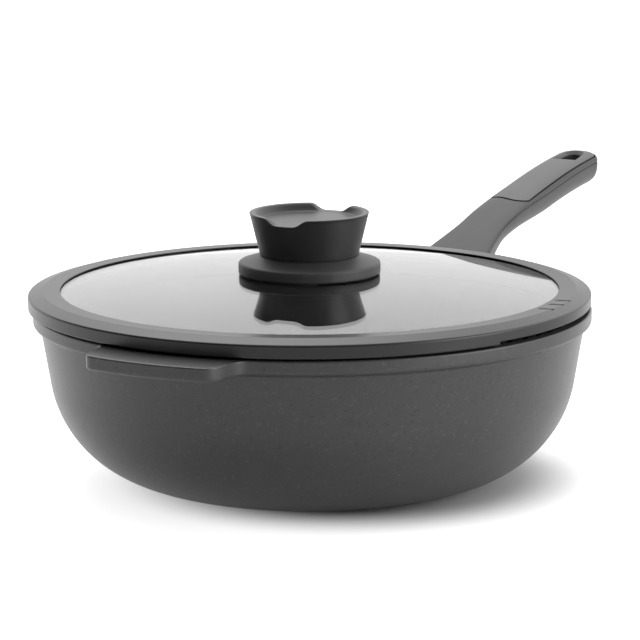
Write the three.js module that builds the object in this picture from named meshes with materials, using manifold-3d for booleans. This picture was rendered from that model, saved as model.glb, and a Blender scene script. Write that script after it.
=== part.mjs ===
// Wok pan with a glass lid: a cast bowl with a helper lip and a two-part handle, and a domed
// glass lid in a silicone rim that strains, with a flared knob whose crown rests a spoon.
// Millimetres, +Z up. The origin is the middle of the base, on the surface that the pan stands on.
// +X runs out along the handle, -X through the helper lip, and the strain slot faces -Y.

import * as THREE from 'three';
import { mergeVertices } from 'three/addons/utils/BufferGeometryUtils.js';
import Module from 'manifold-3d';

const wasm = await Module();
wasm.setup();

const { degToRad, lerp, smoothstep } = THREE.MathUtils;

// Fits and facets

const CLEARANCE = 0.3; // between pieces that touch
const ROUND_SIDES = 64; // round the bowl and the lid
const KNOB_SIDES = 36;
const SMALL_SIDES = 20;
const KNUCKLE_STEPS = 7; // chords of each large profile arc
const DOME_STEPS = 4; // chords across the glass, from its hole to its edge
const SECTION_STEPS = 10; // chords of each half of the handle's section
const BODY_STATIONS = 18; // sections along the handle, then round its tip
const TIP_STATIONS = 6;
const EDGE_STEPS = 2; // chords of each rounded edge
const HOLE_STEPS = 4; // chords of the bowed edge of the hanging hole

// Bowl

const PAN_HEIGHT = 91.1; // to the top of the rim
const MOUTH_RADIUS = 141.15; // inside, at the top of the rim
const WALL = 3.4;
const WALL_LEAN = degToRad(9.4); // outward from upright
const KNUCKLE_RADIUS = 62.3; // outside, between base and wall
const INNER_KNUCKLE_RADIUS = 56;
const FLOOR_THICKNESS = 6.1; // above the foot ring
const FOOT_LIFT = 0.4; // the steel disc stands this proud of the cast foot ring
const BAND_WIDTH = 2.45; // rim band beyond the wall's outside at the top
const BAND_HEIGHT = 6.6;
const BAND_ROUND = 1.1;
const BAND_UNDERCUT = 2.2; // drop of the band's underside towards the wall
const LIP_REACH = 23.5; // helper lip beyond the band
const LIP_HALF_ANGLE = degToRad(10.4);
const LIP_FILLET_ANGLE = degToRad(7.6); // taken by each S-shaped flank
const LIP_TURN = degToRad(0.9); // towards -Y, off the line of the handle

// Induction disc

const DISC_THICKNESS = 1.4;
const DISC_MARGIN = 6; // cast ring left round the disc
const DISC_GROOVE_DEPTH = 0.4;
const DISC_GROOVE_WIDTH = 3;
const DISC_GROOVE_PITCH = 20;
const DISC_CENTRE_RADIUS = 22; // plain middle of the disc

// Handle, measured outward from the rim band and upward from the rim

const HANDLE_REACH = 183;
const HANDLE_START_DROP = 1.8; // top of the neck below the rim, at the band
const HANDLE_BEND_RISE = 34.9; // height of the bend that draws the top line
const HANDLE_END_RISE = 42.2;
const NECK_OVERLAP = 4; // the neck keeps its full section from here, inside the band
const NECK_WIDTH = 44;
const NECK_HEIGHT = 33;
const NECK_CAP = 2; // depth of the cap at the neck
const WAIST_AT = 55;
const WAIST_WIDTH = 28.6;
const WAIST_HEIGHT = 14;
const GRIP_AT = 118;
const GRIP_WIDTH = 27.8;
const GRIP_HEIGHT = 19.4;
const GRIP_CAP = 5.7; // depth of the cap along the grip
const TIP_LENGTH = 10.5; // rounded end
const TIP_FLAT = 0.3; // trimmed off the very end
const SECTION_SQUARENESS = 2.6; // superellipse powers: section, tip in plan, tip from the side
const TIP_SQUARENESS = 2.2;
const TIP_BLUNTNESS = 3.5;
const ROOT_GAP = 0.8; // between the neck and the bowl

// Grip pad

const PAD_AT = 82; // front edge
const PAD_INSET = 2.1; // from the sides of the handle
const PAD_THICKNESS = 2;
const PAD_GROOVE = 0.9; // gap round the pad
const PAD_CORNER = 4;

// Hanging hole

const HOLE_FROM_TIP = 9; // handle left between the hole and the tip
const HOLE_LENGTH = 16.9;
const HOLE_WIDTH = 12; // at its front corners
const HOLE_END_RADIUS = 4.6; // of its round end, towards the tip
const HOLE_BOW = 1.2; // of its front edge, between the corners
const HOLE_FLARE = 2.2; // wider by this at the top, over the same depth

// Handle lug and bolt

const LUG_REACH = 33;
const LUG_WIDTH = 22;
const LUG_COVER = 5.2; // handle left above and below the lug
const BOLT_AT = 21;
const BOLT_RADIUS = 3;
const BOLT_HEAD_RADIUS = 5;
const BOLT_HEAD_HEIGHT = 2.2;
const BOLT_WEB = 1.6; // handle held between washer and lug
const BOLT_BITE = 6.5; // thread in the lug
const WASHER_RADIUS = 5.6;
const WASHER_THICKNESS = 0.7;

// Lid rim, measured up from the top of the pan's rim

const LID_TURN = degToRad(4); // the lid as it was set down
const LID_SET_TOWARDS = degToRad(120); // side of the mouth that it was set down towards
const LID_SET_SHARE = 0.65; // of the play in the mouth
const LID_OVERHANG = 1.1; // beyond the rim band
const LID_RIM_HEIGHT = 10.3;
const LID_RIM_WIDTH = 17; // from the glass to the outside
const SHOULDER_WIDTH = 8; // coned part of the top
const SHOULDER_DROP = 2.8;
const SHOULDER_ROUND = 0.7;
const SEAT_RISE = 1.1; // the seat opens by this from the wall of the pan outward
const SKIRT_DEPTH = 7.5; // inside the pan
const SKIRT_GAP = 2.2; // to the mouth
const SKIRT_WALL = 3.4;
const SKIRT_TAPER = 0.8;
const LIP_HEIGHT = 0.9; // silicone edge above the glass
const LEDGE_THICKNESS = 2.2; // silicone under the edge of the glass
const SLOT_HEIGHT = 1.9;
const SLOT_HALF_ANGLE = degToRad(24.5);
const STRAIN_HOLES = 8;
const STRAIN_HOLE_WIDTH = 9;
const STRAIN_HOLE_DEPTH = 5.5;

// Lid glass

const GLASS_THICKNESS = 4;
const GLASS_GRIP = 6; // width of glass edge held in the silicone
const DOME_RISE = 8.7;
const GLASS_HOLE_RADIUS = 4.2;

// Knob

const FLANGE_RADIUS = 37.4;
const FLANGE_EDGE = 5.8;
const FLANGE_LIFT = 0.55; // of its edge above the glass
const FLANGE_SLOPE = 3.65; // rise of its coned top
const FLANGE_ROUND = 0.8;
const KNOB_FOOT_RADIUS = 26;
const KNOB_CROWN_RADIUS = 31.5;
const KNOB_HEIGHT = 22.4; // above the flange
const CROWN_EDGE = 1.4;
const DISH_DEPTH = 4;
const DISH_SLOPE = 4.6;
const NOTCH_DEPTH = 3.7;
const NOTCH_WIDTH = 25;
const NOTCH_FLOOR = 12;
const SPIGOT_RADIUS = 16;
const SPIGOT_DEPTH = 5.8;
const FLANGE_FLOOR = 1.6; // flange left under the spigot
const SEAL_RADIUS = 33.5;
const INSERT_RADIUS = 4.5;
const INSERT_LENGTH = 11.5;
const SCREW_RADIUS = 2.5;
const SCREW_HEAD_RADIUS = 5;
const SCREW_HEAD_HEIGHT = 3;
const SCREW_END_SPACE = 0.8;
const UNDER_SEAL_RADIUS = 14;
const UNDER_SEAL_THICKNESS = 1.2;
const UNDER_WASHER_RADIUS = 13;
const UNDER_WASHER_THICKNESS = 1;

// Sizes that follow

const outerTop = MOUTH_RADIUS + WALL / Math.cos(WALL_LEAN);
const bandRadius = outerTop + BAND_WIDTH;
const bandLow = PAN_HEIGHT - BAND_HEIGHT;
const wallRadius = (z) => outerTop - (PAN_HEIGHT - z) * Math.tan(WALL_LEAN);
const knuckleCentreZ = FOOT_LIFT + KNUCKLE_RADIUS;
const knuckleEndZ = knuckleCentreZ - KNUCKLE_RADIUS * Math.sin(WALL_LEAN);
const baseRadius = wallRadius(knuckleEndZ) - KNUCKLE_RADIUS * Math.cos(WALL_LEAN);
const floorZ = FOOT_LIFT + FLOOR_THICKNESS;
const innerCentreZ = floorZ + INNER_KNUCKLE_RADIUS;
const innerEndZ = innerCentreZ - INNER_KNUCKLE_RADIUS * Math.sin(WALL_LEAN);
const innerRadius = (z) => MOUTH_RADIUS - (PAN_HEIGHT - z) * Math.tan(WALL_LEAN);
const innerCentreRadius = innerRadius(innerEndZ) - INNER_KNUCKLE_RADIUS * Math.cos(WALL_LEAN);
const discRadius = baseRadius - DISC_MARGIN;

const lidRadius = bandRadius + LID_OVERHANG;
const glassOpening = lidRadius - LID_RIM_WIDTH; // inner edge of the silicone
const glassRadius = glassOpening + GLASS_GRIP;
const glassEdgeTop = LID_RIM_HEIGHT - LIP_HEIGHT;
const domeRadius = (glassOpening ** 2 + DOME_RISE ** 2) / (2 * DOME_RISE);
const domeCentreZ = glassEdgeTop + DOME_RISE - domeRadius;
const glassTopAt = (r) => domeCentreZ + Math.sqrt(domeRadius ** 2 - r ** 2);

const flangeBottom = glassTopAt(FLANGE_RADIUS) + FLANGE_LIFT;
const flangeEdgeTop = flangeBottom + FLANGE_EDGE;
const flangeTop = flangeEdgeTop + FLANGE_SLOPE;
const knobFoot = flangeTop + CLEARANCE;
const knobTop = knobFoot + KNOB_HEIGHT;
const spigotBottom = knobFoot - SPIGOT_DEPTH;
const socketFloor = spigotBottom - CLEARANCE;
const sealCeiling = socketFloor - FLANGE_FLOOR;
const insertBottom = spigotBottom + CLEARANCE;
const insertTop = insertBottom + INSERT_LENGTH;
const screwHole = SCREW_RADIUS + CLEARANCE;
const underSealTop = glassTopAt(UNDER_SEAL_RADIUS) - GLASS_THICKNESS - CLEARANCE;
const underSealBottom = underSealTop - UNDER_SEAL_THICKNESS;
const underWasherTop = underSealBottom - CLEARANCE;
const underWasherBottom = underWasherTop - UNDER_WASHER_THICKNESS;
const screwHeadTop = underWasherBottom - CLEARANCE;

// Shape helpers

// The faces of a closed mesh, without the empty ones that meet the axis, as a solid.
function solid(geometry) {
  const bare = new THREE.BufferGeometry();
  bare.setAttribute('position', geometry.getAttribute('position').clone());
  bare.setIndex(geometry.getIndex());
  const merged = mergeVertices(bare, 1e-4);
  const index = merged.getIndex().array;
  const faces = [];
  for (let i = 0; i < index.length; i += 3) {
    const [a, b, c] = [index[i], index[i + 1], index[i + 2]];
    if (a !== b && b !== c && c !== a) faces.push(a, b, c);
  }
  const vertProperties = new Float32Array(merged.getAttribute('position').array);
  return new wasm.Manifold(new wasm.Mesh({ numProp: 3, vertProperties, triVerts: new Uint32Array(faces) }));
}

function join(first, ...others) {
  return others.reduce((body, other) => body.add(other), first);
}

function cut(body, ...tools) {
  return tools.reduce((left, tool) => left.subtract(tool), body);
}

// Turns a profile of (radius, height) points about Z. The points run anticlockwise.
function turned(points, sides) {
  const geometry = new THREE.LatheGeometry(points, sides);
  geometry.rotateX(Math.PI / 2);
  return solid(geometry);
}

function ring(points, sides) {
  return turned([...points, points[0]], sides);
}

function at(r, z) {
  return new THREE.Vector2(r, z);
}

// Points of an arc about a centre, from one angle to the other the short way.
function arc(centre, radius, from, to, steps) {
  return new THREE.EllipseCurve(centre.x, centre.y, radius, radius, from, to, from > to).getPoints(steps);
}

// An upright round post between two heights, with its axis at (x, 0).
function post(radius, low, high, sides, x = 0) {
  const geometry = new THREE.CylinderGeometry(radius, radius, high - low, sides);
  geometry.rotateX(Math.PI / 2);
  geometry.translate(x, 0, (low + high) / 2);
  return solid(geometry);
}

function washer(inner, outer, low, high, sides) {
  return ring([at(inner, low), at(outer, low), at(outer, high), at(inner, high)], sides);
}

function prism(shape, depth, curveSegments) {
  return solid(new THREE.ExtrudeGeometry(shape, { depth, bevelEnabled: false, curveSegments }));
}

// Skins a row of closed convex loops, each a list of points, and closes both ends.
function loft(loops) {
  const count = loops[0].length;
  const positions = loops.flat().flatMap((p) => [p.x, p.y, p.z]);
  const index = [];
  for (let row = 0; row + 1 < loops.length; row += 1) {
    for (let k = 0; k < count; k += 1) {
      const a = row * count + k;
      const b = row * count + ((k + 1) % count);
      index.push(a, b, a + count, b, b + count, a + count);
    }
  }
  const last = (loops.length - 1) * count;
  for (let k = 1; k + 1 < count; k += 1) {
    index.push(0, k + 1, k);
    index.push(last, last + k, last + k + 1);
  }
  const geometry = new THREE.BufferGeometry();
  geometry.setAttribute('position', new THREE.Float32BufferAttribute(positions, 3));
  geometry.setIndex(index);
  return solid(geometry);
}

// A named piece with its own finish.
function piece(name, body, color, roughness, metalness) {
  const mesh = body.getMesh();
  const geometry = new THREE.BufferGeometry();
  geometry.setAttribute('position', new THREE.BufferAttribute(mesh.vertProperties, 3));
  geometry.setIndex(new THREE.BufferAttribute(mesh.triVerts, 1));
  geometry.computeVertexNormals();
  const made = new THREE.Mesh(geometry, new THREE.MeshStandardMaterial({ color, roughness, metalness }));
  made.name = name;
  return made;
}

// Bowl

// Half section of the bowl: recess for the disc, foot, knuckle, wall, rim band, then down the inside.
function bowlProfile() {
  const discCeiling = DISC_THICKNESS + CLEARANCE;
  const recessRadius = discRadius + CLEARANCE;
  const undercutZ = bandLow - BAND_UNDERCUT;
  const edge = bandRadius - BAND_ROUND;
  const down = -Math.PI / 2;
  return [
    at(0, discCeiling),
    at(recessRadius, discCeiling),
    at(recessRadius, FOOT_LIFT),
    ...arc(at(baseRadius, knuckleCentreZ), KNUCKLE_RADIUS, down, -WALL_LEAN, KNUCKLE_STEPS),
    at(wallRadius(undercutZ), undercutZ),
    ...arc(at(edge, bandLow + BAND_ROUND), BAND_ROUND, -Math.PI / 3, 0, EDGE_STEPS),
    ...arc(at(edge, PAN_HEIGHT - BAND_ROUND), BAND_ROUND, 0, Math.PI / 2, EDGE_STEPS),
    at(MOUTH_RADIUS + BAND_ROUND, PAN_HEIGHT),
    at(innerRadius(PAN_HEIGHT - BAND_ROUND), PAN_HEIGHT - BAND_ROUND),
    ...arc(at(innerCentreRadius, innerCentreZ), INNER_KNUCKLE_RADIUS, -WALL_LEAN, down, KNUCKLE_STEPS),
    at(0, floorZ),
  ];
}

// The helper lip in plan: an arc beyond the band, with an S-shaped flank on each side.
function helperLip() {
  const polar = (r, a) => at(-r * Math.cos(a), -r * Math.sin(a));
  const along = (a) => at(Math.sin(a), -Math.cos(a));
  const lipRadius = bandRadius + LIP_REACH;
  const rootAngle = LIP_HALF_ANGLE + LIP_FILLET_ANGLE;
  const rootRadius = bandRadius - BAND_ROUND;
  const pull = LIP_REACH * 0.55;
  const shape = new THREE.Shape();
  const flank = (side) => {
    const root = polar(rootRadius, side * rootAngle);
    const tip = polar(lipRadius, side * LIP_HALF_ANGLE);
    const nearRoot = root.clone().addScaledVector(along(side * rootAngle), -side * pull);
    const nearTip = tip.clone().addScaledVector(along(side * LIP_HALF_ANGLE), side * pull);
    return [root, nearRoot, nearTip, tip];
  };
  const [startRoot, startPull, startTipPull, startTip] = flank(-1);
  const [endRoot, endPull, endTipPull, endTip] = flank(1);
  shape.moveTo(startRoot.x, startRoot.y);
  shape.bezierCurveTo(startPull.x, startPull.y, startTipPull.x, startTipPull.y, startTip.x, startTip.y);
  shape.absarc(0, 0, lipRadius, Math.PI - LIP_HALF_ANGLE, Math.PI + LIP_HALF_ANGLE, false);
  shape.bezierCurveTo(endTipPull.x, endTipPull.y, endPull.x, endPull.y, endRoot.x, endRoot.y);
  const inside = MOUTH_RADIUS + 2 * BAND_ROUND;
  shape.absarc(0, 0, inside, Math.PI + rootAngle, Math.PI - rootAngle, true);
  shape.closePath();
  const geometry = new THREE.ExtrudeGeometry(shape, {
    depth: BAND_HEIGHT - 2 * BAND_ROUND,
    bevelThickness: BAND_ROUND,
    bevelSize: BAND_ROUND,
    bevelOffset: -BAND_ROUND,
    bevelSegments: 2,
    curveSegments: 7,
  });
  geometry.translate(0, 0, bandLow + BAND_ROUND);
  geometry.rotateZ(LIP_TURN);
  return solid(geometry);
}

// Handle section by distance from the axis

const neckStart = bandRadius - NECK_OVERLAP;
const neckFoot = PAN_HEIGHT - HANDLE_START_DROP - NECK_HEIGHT;
const handleStart = wallRadius(neckFoot) - 2 * WALL;
const handleEnd = bandRadius + HANDLE_REACH;
const waistX = bandRadius + WAIST_AT;
const gripX = bandRadius + GRIP_AT;
const tipX = handleEnd - TIP_LENGTH;
const topLine = new THREE.QuadraticBezierCurve(
  at(bandRadius, PAN_HEIGHT - HANDLE_START_DROP),
  at(bandRadius + HANDLE_REACH / 2, PAN_HEIGHT + HANDLE_BEND_RISE),
  at(handleEnd, PAN_HEIGHT + HANDLE_END_RISE),
);

function topAt(x) {
  return topLine.getPoint((x - bandRadius) / HANDLE_REACH).y;
}

// Blends a size from the neck through the waist to the grip.
function alongHandle(x, neck, waist, grip) {
  if (x < waistX) return lerp(neck, waist, smoothstep(x, neckStart, waistX));
  return lerp(waist, grip, smoothstep(x, waistX, gripX));
}

function tipShare(x, power) {
  const share = Math.max(0, (x - tipX) / TIP_LENGTH);
  return (1 - Math.min(share, 1) ** power) ** (1 / power);
}

function heightAt(x) {
  return alongHandle(x, NECK_HEIGHT, WAIST_HEIGHT, GRIP_HEIGHT);
}

// Half width, seam height, and the rise of the cap and drop of the core from the seam.
function sectionAt(x) {
  const cap = alongHandle(x, NECK_CAP, NECK_CAP, GRIP_CAP);
  const blunt = tipShare(x, TIP_BLUNTNESS);
  const half = (alongHandle(x, NECK_WIDTH, WAIST_WIDTH, GRIP_WIDTH) / 2) * tipShare(x, TIP_SQUARENESS);
  return { half, seam: topAt(x) - cap, rise: cap * blunt, drop: (heightAt(x) - cap) * blunt };
}

function capTopAt(x, y) {
  const { half, seam, rise } = sectionAt(x);
  const share = Math.min(Math.abs(y) / half, 1);
  return seam + rise * (1 - share ** SECTION_SQUARENESS) ** (1 / SECTION_SQUARENESS);
}

// Stations along the handle, closer together round the tip.
function stations(from, to, body, tip) {
  const list = [];
  for (let k = 0; k < body; k += 1) list.push(lerp(from, tipX, k / body));
  for (let k = 0; k <= tip; k += 1) list.push(lerp(tipX, to, Math.sin((k / tip) * (Math.PI / 2))));
  return list;
}

const handleStations = stations(handleStart, handleEnd - TIP_FLAT, BODY_STATIONS, TIP_STATIONS);

// One half of the section: side +1 for the cap above the seam, -1 for the core below it.
function halfSection(x, side) {
  const { half, seam, rise, drop } = sectionAt(x);
  const power = 2 / SECTION_SQUARENESS;
  const tall = side > 0 ? rise : drop;
  const loop = [];
  for (let k = 0; k <= SECTION_STEPS; k += 1) {
    const a = (k / SECTION_STEPS) * Math.PI;
    const y = half * Math.sign(Math.cos(a)) * Math.abs(Math.cos(a)) ** power;
    const z = seam + side * (CLEARANCE / 2 + Math.max(0, tall - CLEARANCE / 2) * Math.sin(a) ** power);
    loop.push(new THREE.Vector3(x, side * y, z));
  }
  return loop;
}

// The space of the bowl that the neck keeps clear of.
function bowlEnvelope() {
  const low = bandLow - BAND_UNDERCUT - ROOT_GAP;
  const bottom = PAN_HEIGHT - 2 * NECK_HEIGHT;
  const top = PAN_HEIGHT + NECK_HEIGHT;
  const points = [at(0, bottom), at(wallRadius(bottom) + ROOT_GAP, bottom)];
  points.push(at(wallRadius(low) + ROOT_GAP, low));
  points.push(at(bandRadius + ROOT_GAP, bandLow - ROOT_GAP), at(bandRadius + ROOT_GAP, top), at(0, top));
  return turned(points, ROUND_SIDES);
}

// Lug: a tapered arm cast on the wall, inside the neck, with a flat spot face under it for the bolt.
// Grown by the clearance, it is the socket in the handle.
const lugEnd = bandRadius + LUG_REACH;
const lugLowAt = (x) => {
  const start = topAt(bandRadius) - heightAt(bandRadius) + LUG_COVER;
  const end = topAt(lugEnd) - heightAt(lugEnd) + LUG_COVER;
  return lerp(start, end, (x - bandRadius) / LUG_REACH);
};
const lugHighAt = (x) => {
  return lerp(topAt(bandRadius) - LUG_COVER, topAt(lugEnd) - LUG_COVER, (x - bandRadius) / LUG_REACH);
};

const boltX = bandRadius + BOLT_AT;
const lugUnder = lugLowAt(boltX);

function lug(grow) {
  const root = (wallRadius(lugLowAt(bandRadius)) + innerRadius(lugHighAt(bandRadius))) / 2;
  const shape = new THREE.Shape();
  shape.moveTo(root, lugLowAt(root) - grow);
  shape.lineTo(lugEnd + grow, lugLowAt(lugEnd) - grow);
  shape.lineTo(lugEnd + grow, lugHighAt(lugEnd) + grow);
  shape.lineTo(root, lugHighAt(root) + grow);
  shape.closePath();
  const width = LUG_WIDTH + 2 * grow;
  const geometry = new THREE.ExtrudeGeometry(shape, { depth: width, bevelEnabled: false });
  geometry.rotateX(Math.PI / 2);
  geometry.translate(0, width / 2, 0);
  const faceRadius = WASHER_RADIUS + 2 * CLEARANCE - grow;
  return cut(solid(geometry), post(faceRadius, lugUnder - NECK_HEIGHT, lugUnder - grow, SMALL_SIDES, boltX));
}

const clampFace = lugUnder - CLEARANCE - BOLT_WEB;
const washerTop = clampFace - CLEARANCE;
const boltHeadTop = washerTop - WASHER_THICKNESS - CLEARANCE;
const boltHeadBottom = boltHeadTop - BOLT_HEAD_HEIGHT;
const boltTop = lugUnder + BOLT_BITE;
const boltHole = BOLT_RADIUS + CLEARANCE;

function panBody() {
  const bowl = turned(bowlProfile(), ROUND_SIDES);
  const tapped = post(boltHole, lugUnder - NECK_HEIGHT, boltTop + CLEARANCE, SMALL_SIDES, boltX);
  return join(bowl, helperLip(), cut(lug(0), tapped));
}

function inductionDisc() {
  const points = [at(0, 0)];
  for (let r = DISC_CENTRE_RADIUS; r + 2 * DISC_GROOVE_WIDTH < discRadius; r += DISC_GROOVE_PITCH) {
    points.push(at(r, 0), at(r + DISC_GROOVE_WIDTH / 2, DISC_GROOVE_DEPTH), at(r + DISC_GROOVE_WIDTH, 0));
  }
  points.push(at(discRadius, 0), at(discRadius, DISC_THICKNESS), at(0, DISC_THICKNESS));
  return turned(points, KNOB_SIDES);
}

// Hanging hole in plan, grown sideways: a bowed front edge with crisp corners, round towards the tip.
function holeOutline(grow) {
  const end = handleEnd - HOLE_FROM_TIP;
  const half = HOLE_WIDTH / 2 + grow;
  const front = end - HOLE_LENGTH - grow;
  const corner = front + HOLE_BOW;
  const shape = new THREE.Shape();
  shape.absarc(end - HOLE_END_RADIUS, 0, HOLE_END_RADIUS + grow, -Math.PI / 2, Math.PI / 2, false);
  shape.lineTo(corner, half);
  shape.quadraticCurveTo(front - HOLE_BOW, 0, corner, -half);
  return shape.getPoints(HOLE_STEPS);
}

// The hole's space: straight through the handle, flaring where it opens on top.
function hangingHole() {
  const loop = (grow, lift) => holeOutline(grow).map((p) => new THREE.Vector3(p.x, p.y, topAt(p.x) + lift));
  return loft([loop(0, -2 * GRIP_HEIGHT), loop(0, -HOLE_FLARE), loop(2 * HOLE_FLARE, HOLE_FLARE)]);
}

// The pad's space: its outline grown sideways, from a depth below the top of the cap to a height above.
function padSpace(grow, depth, lift) {
  const front = bandRadius + PAD_AT - grow;
  const back = handleEnd - PAD_INSET + grow;
  const corner = (x) => {
    const share = Math.min((x - front) / PAD_CORNER, 1);
    return Math.sqrt(1 - (1 - share) ** 2);
  };
  const loops = [];
  const edge = [0.02, 0.3, 0.7].map((share) => front + share * PAD_CORNER);
  const rest = stations(front + PAD_CORNER, back - TIP_FLAT, BODY_STATIONS / 2, TIP_STATIONS);
  for (const x of [...edge, ...rest]) {
    const held = Math.min(x, tipX);
    const outer = (sectionAt(held).half - PAD_INSET + grow) * corner(x);
    const share = Math.max(0, (x - tipX) / (back - tipX));
    const half = outer * (1 - share ** TIP_SQUARENESS) ** (1 / TIP_SQUARENESS);
    const across = [-1, -0.8, -0.4, 0, 0.4, 0.8, 1].map((part) => part * half);
    const upper = across.map((y) => new THREE.Vector3(x, -y, capTopAt(x, y) + lift));
    const lower = across.map((y) => new THREE.Vector3(x, y, capTopAt(x, y) - depth));
    loops.push([...upper, ...lower]);
  }
  return loft(loops);
}

function handleCap() {
  const whole = loft(handleStations.map((x) => halfSection(x, 1)));
  const recess = padSpace(PAD_GROOVE, PAD_THICKNESS + CLEARANCE, GRIP_CAP);
  return cut(whole, bowlEnvelope(), recess, hangingHole());
}

function handleCore() {
  const whole = loft(handleStations.map((x) => halfSection(x, -1)));
  const counterbore = post(WASHER_RADIUS + CLEARANCE, clampFace - NECK_HEIGHT, clampFace, SMALL_SIDES, boltX);
  const through = post(boltHole, clampFace - CLEARANCE, boltTop, SMALL_SIDES, boltX);
  return cut(whole, bowlEnvelope(), lug(CLEARANCE), counterbore, through, hangingHole());
}

function gripPad() {
  return cut(padSpace(0, PAD_THICKNESS, 0), hangingHole());
}

function handleBolt() {
  const head = post(BOLT_HEAD_RADIUS, boltHeadBottom, boltHeadTop, SMALL_SIDES, boltX);
  return join(head, post(BOLT_RADIUS, boltHeadBottom + 1, boltTop, SMALL_SIDES, boltX));
}

function boltWasher() {
  return washer(boltHole, WASHER_RADIUS, washerTop - WASHER_THICKNESS, washerTop, SMALL_SIDES)
    .translate([boltX, 0, 0]);
}

// Lid rim

// A cutter that takes a sector of a ring: radii, heights and half angle about -Y.
function sector(inner, outer, low, high, halfAngle, chords) {
  const shape = new THREE.Shape();
  shape.absarc(0, 0, outer, -Math.PI / 2 - halfAngle, -Math.PI / 2 + halfAngle, false);
  shape.absarc(0, 0, inner, -Math.PI / 2 + halfAngle, -Math.PI / 2 - halfAngle, true);
  shape.closePath();
  return prism(shape, high - low, chords).translate([0, 0, low]);
}

// Silicone rim: seat on the pan's rim, groove for the glass, skirt inside the mouth, strain slot.
function lidRim() {
  const skirtOuter = MOUTH_RADIUS - SKIRT_GAP;
  const skirtInner = skirtOuter - SKIRT_WALL;
  const grooveOuter = glassRadius + CLEARANCE;
  const ledgeInner = glassOpening + CLEARANCE;
  const flatEdge = lidRadius - SHOULDER_WIDTH;
  const shoulderZ = LID_RIM_HEIGHT - SHOULDER_DROP;
  const under = (r) => glassTopAt(r) - GLASS_THICKNESS - CLEARANCE;
  const over = (r) => glassTopAt(r) + CLEARANCE;
  const body = ring([
    at(glassOpening, over(glassOpening)),
    at(grooveOuter, over(grooveOuter)),
    at(grooveOuter, under(grooveOuter)),
    at(ledgeInner, under(ledgeInner)),
    at(ledgeInner, under(ledgeInner) - LEDGE_THICKNESS),
    at(skirtInner, CLEARANCE),
    at(skirtInner, -SKIRT_DEPTH),
    at(skirtOuter - SKIRT_TAPER, -SKIRT_DEPTH),
    at(skirtOuter, CLEARANCE),
    at(outerTop, CLEARANCE),
    at(lidRadius - SHOULDER_ROUND, CLEARANCE + SEAT_RISE),
    at(lidRadius, CLEARANCE + SEAT_RISE + SHOULDER_ROUND),
    at(lidRadius, shoulderZ),
    at(lidRadius - SHOULDER_ROUND, shoulderZ + SHOULDER_ROUND),
    at(flatEdge, LID_RIM_HEIGHT),
    at(glassOpening, LID_RIM_HEIGHT),
  ], ROUND_SIDES);
  const slotTop = CLEARANCE + SLOT_HEIGHT;
  const slot = sector(skirtOuter, lidRadius + 1, -SLOT_HEIGHT, slotTop, SLOT_HALF_ANGLE, 10);
  const holeAngle = STRAIN_HOLE_WIDTH / 2 / skirtOuter;
  const hole = sector(skirtInner - 1, skirtOuter + 1, -STRAIN_HOLE_DEPTH, slotTop - 1, holeAngle, 1);
  const pitch = (2 * SLOT_HALF_ANGLE) / (STRAIN_HOLES + 1);
  const holes = [];
  for (let k = 1; k <= STRAIN_HOLES; k += 1) {
    holes.push(hole.rotate([0, 0, THREE.MathUtils.radToDeg(k * pitch - SLOT_HALF_ANGLE)]));
  }
  return cut(body, slot, ...holes);
}

function lidGlass() {
  const radii = [];
  for (let k = 0; k <= DOME_STEPS; k += 1) radii.push(lerp(GLASS_HOLE_RADIUS, glassRadius, k / DOME_STEPS));
  const under = radii.map((r) => at(r, glassTopAt(r) - GLASS_THICKNESS));
  const over = radii.map((r) => at(r, glassTopAt(r))).reverse();
  return ring([...under, ...over], ROUND_SIDES);
}

// Knob

// Crown, dished, with a rounded notch on two opposite sides for the stem of a spoon.
function knobBody() {
  const dishRadius = KNOB_CROWN_RADIUS - CROWN_EDGE - DISH_SLOPE;
  const boreRadius = INSERT_RADIUS + CLEARANCE;
  const boreTop = insertTop + CLEARANCE;
  const body = turned([
    at(0, boreTop),
    at(boreRadius, boreTop),
    at(boreRadius, spigotBottom),
    at(SPIGOT_RADIUS, spigotBottom),
    at(SPIGOT_RADIUS, knobFoot),
    at(KNOB_FOOT_RADIUS, knobFoot),
    at(KNOB_CROWN_RADIUS - CLEARANCE, knobTop - 2 * CLEARANCE),
    at(KNOB_CROWN_RADIUS - CROWN_EDGE / 2, knobTop),
    at(KNOB_CROWN_RADIUS - CROWN_EDGE, knobTop),
    at(dishRadius, knobTop - DISH_DEPTH),
    at(0, knobTop - DISH_DEPTH),
  ], KNOB_SIDES);
  const shape = new THREE.Shape();
  const wide = NOTCH_WIDTH / 2;
  const narrow = NOTCH_FLOOR / 2;
  const middle = (wide + narrow) / 2;
  shape.moveTo(-narrow, -NOTCH_DEPTH);
  shape.lineTo(narrow, -NOTCH_DEPTH);
  shape.bezierCurveTo(middle, -NOTCH_DEPTH, middle, 0, wide, 0);
  shape.lineTo(wide, NOTCH_DEPTH);
  shape.lineTo(-wide, NOTCH_DEPTH);
  shape.lineTo(-wide, 0);
  shape.bezierCurveTo(-middle, 0, -middle, -NOTCH_DEPTH, -narrow, -NOTCH_DEPTH);
  const length = 3 * KNOB_CROWN_RADIUS;
  const geometry = new THREE.ExtrudeGeometry(shape, { depth: length, bevelEnabled: false, curveSegments: 6 });
  geometry.translate(0, 0, -length / 2);
  geometry.rotateX(Math.PI / 2);
  geometry.rotateZ(Math.PI / 2);
  geometry.translate(0, 0, knobTop);
  return cut(body, solid(geometry));
}

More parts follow.
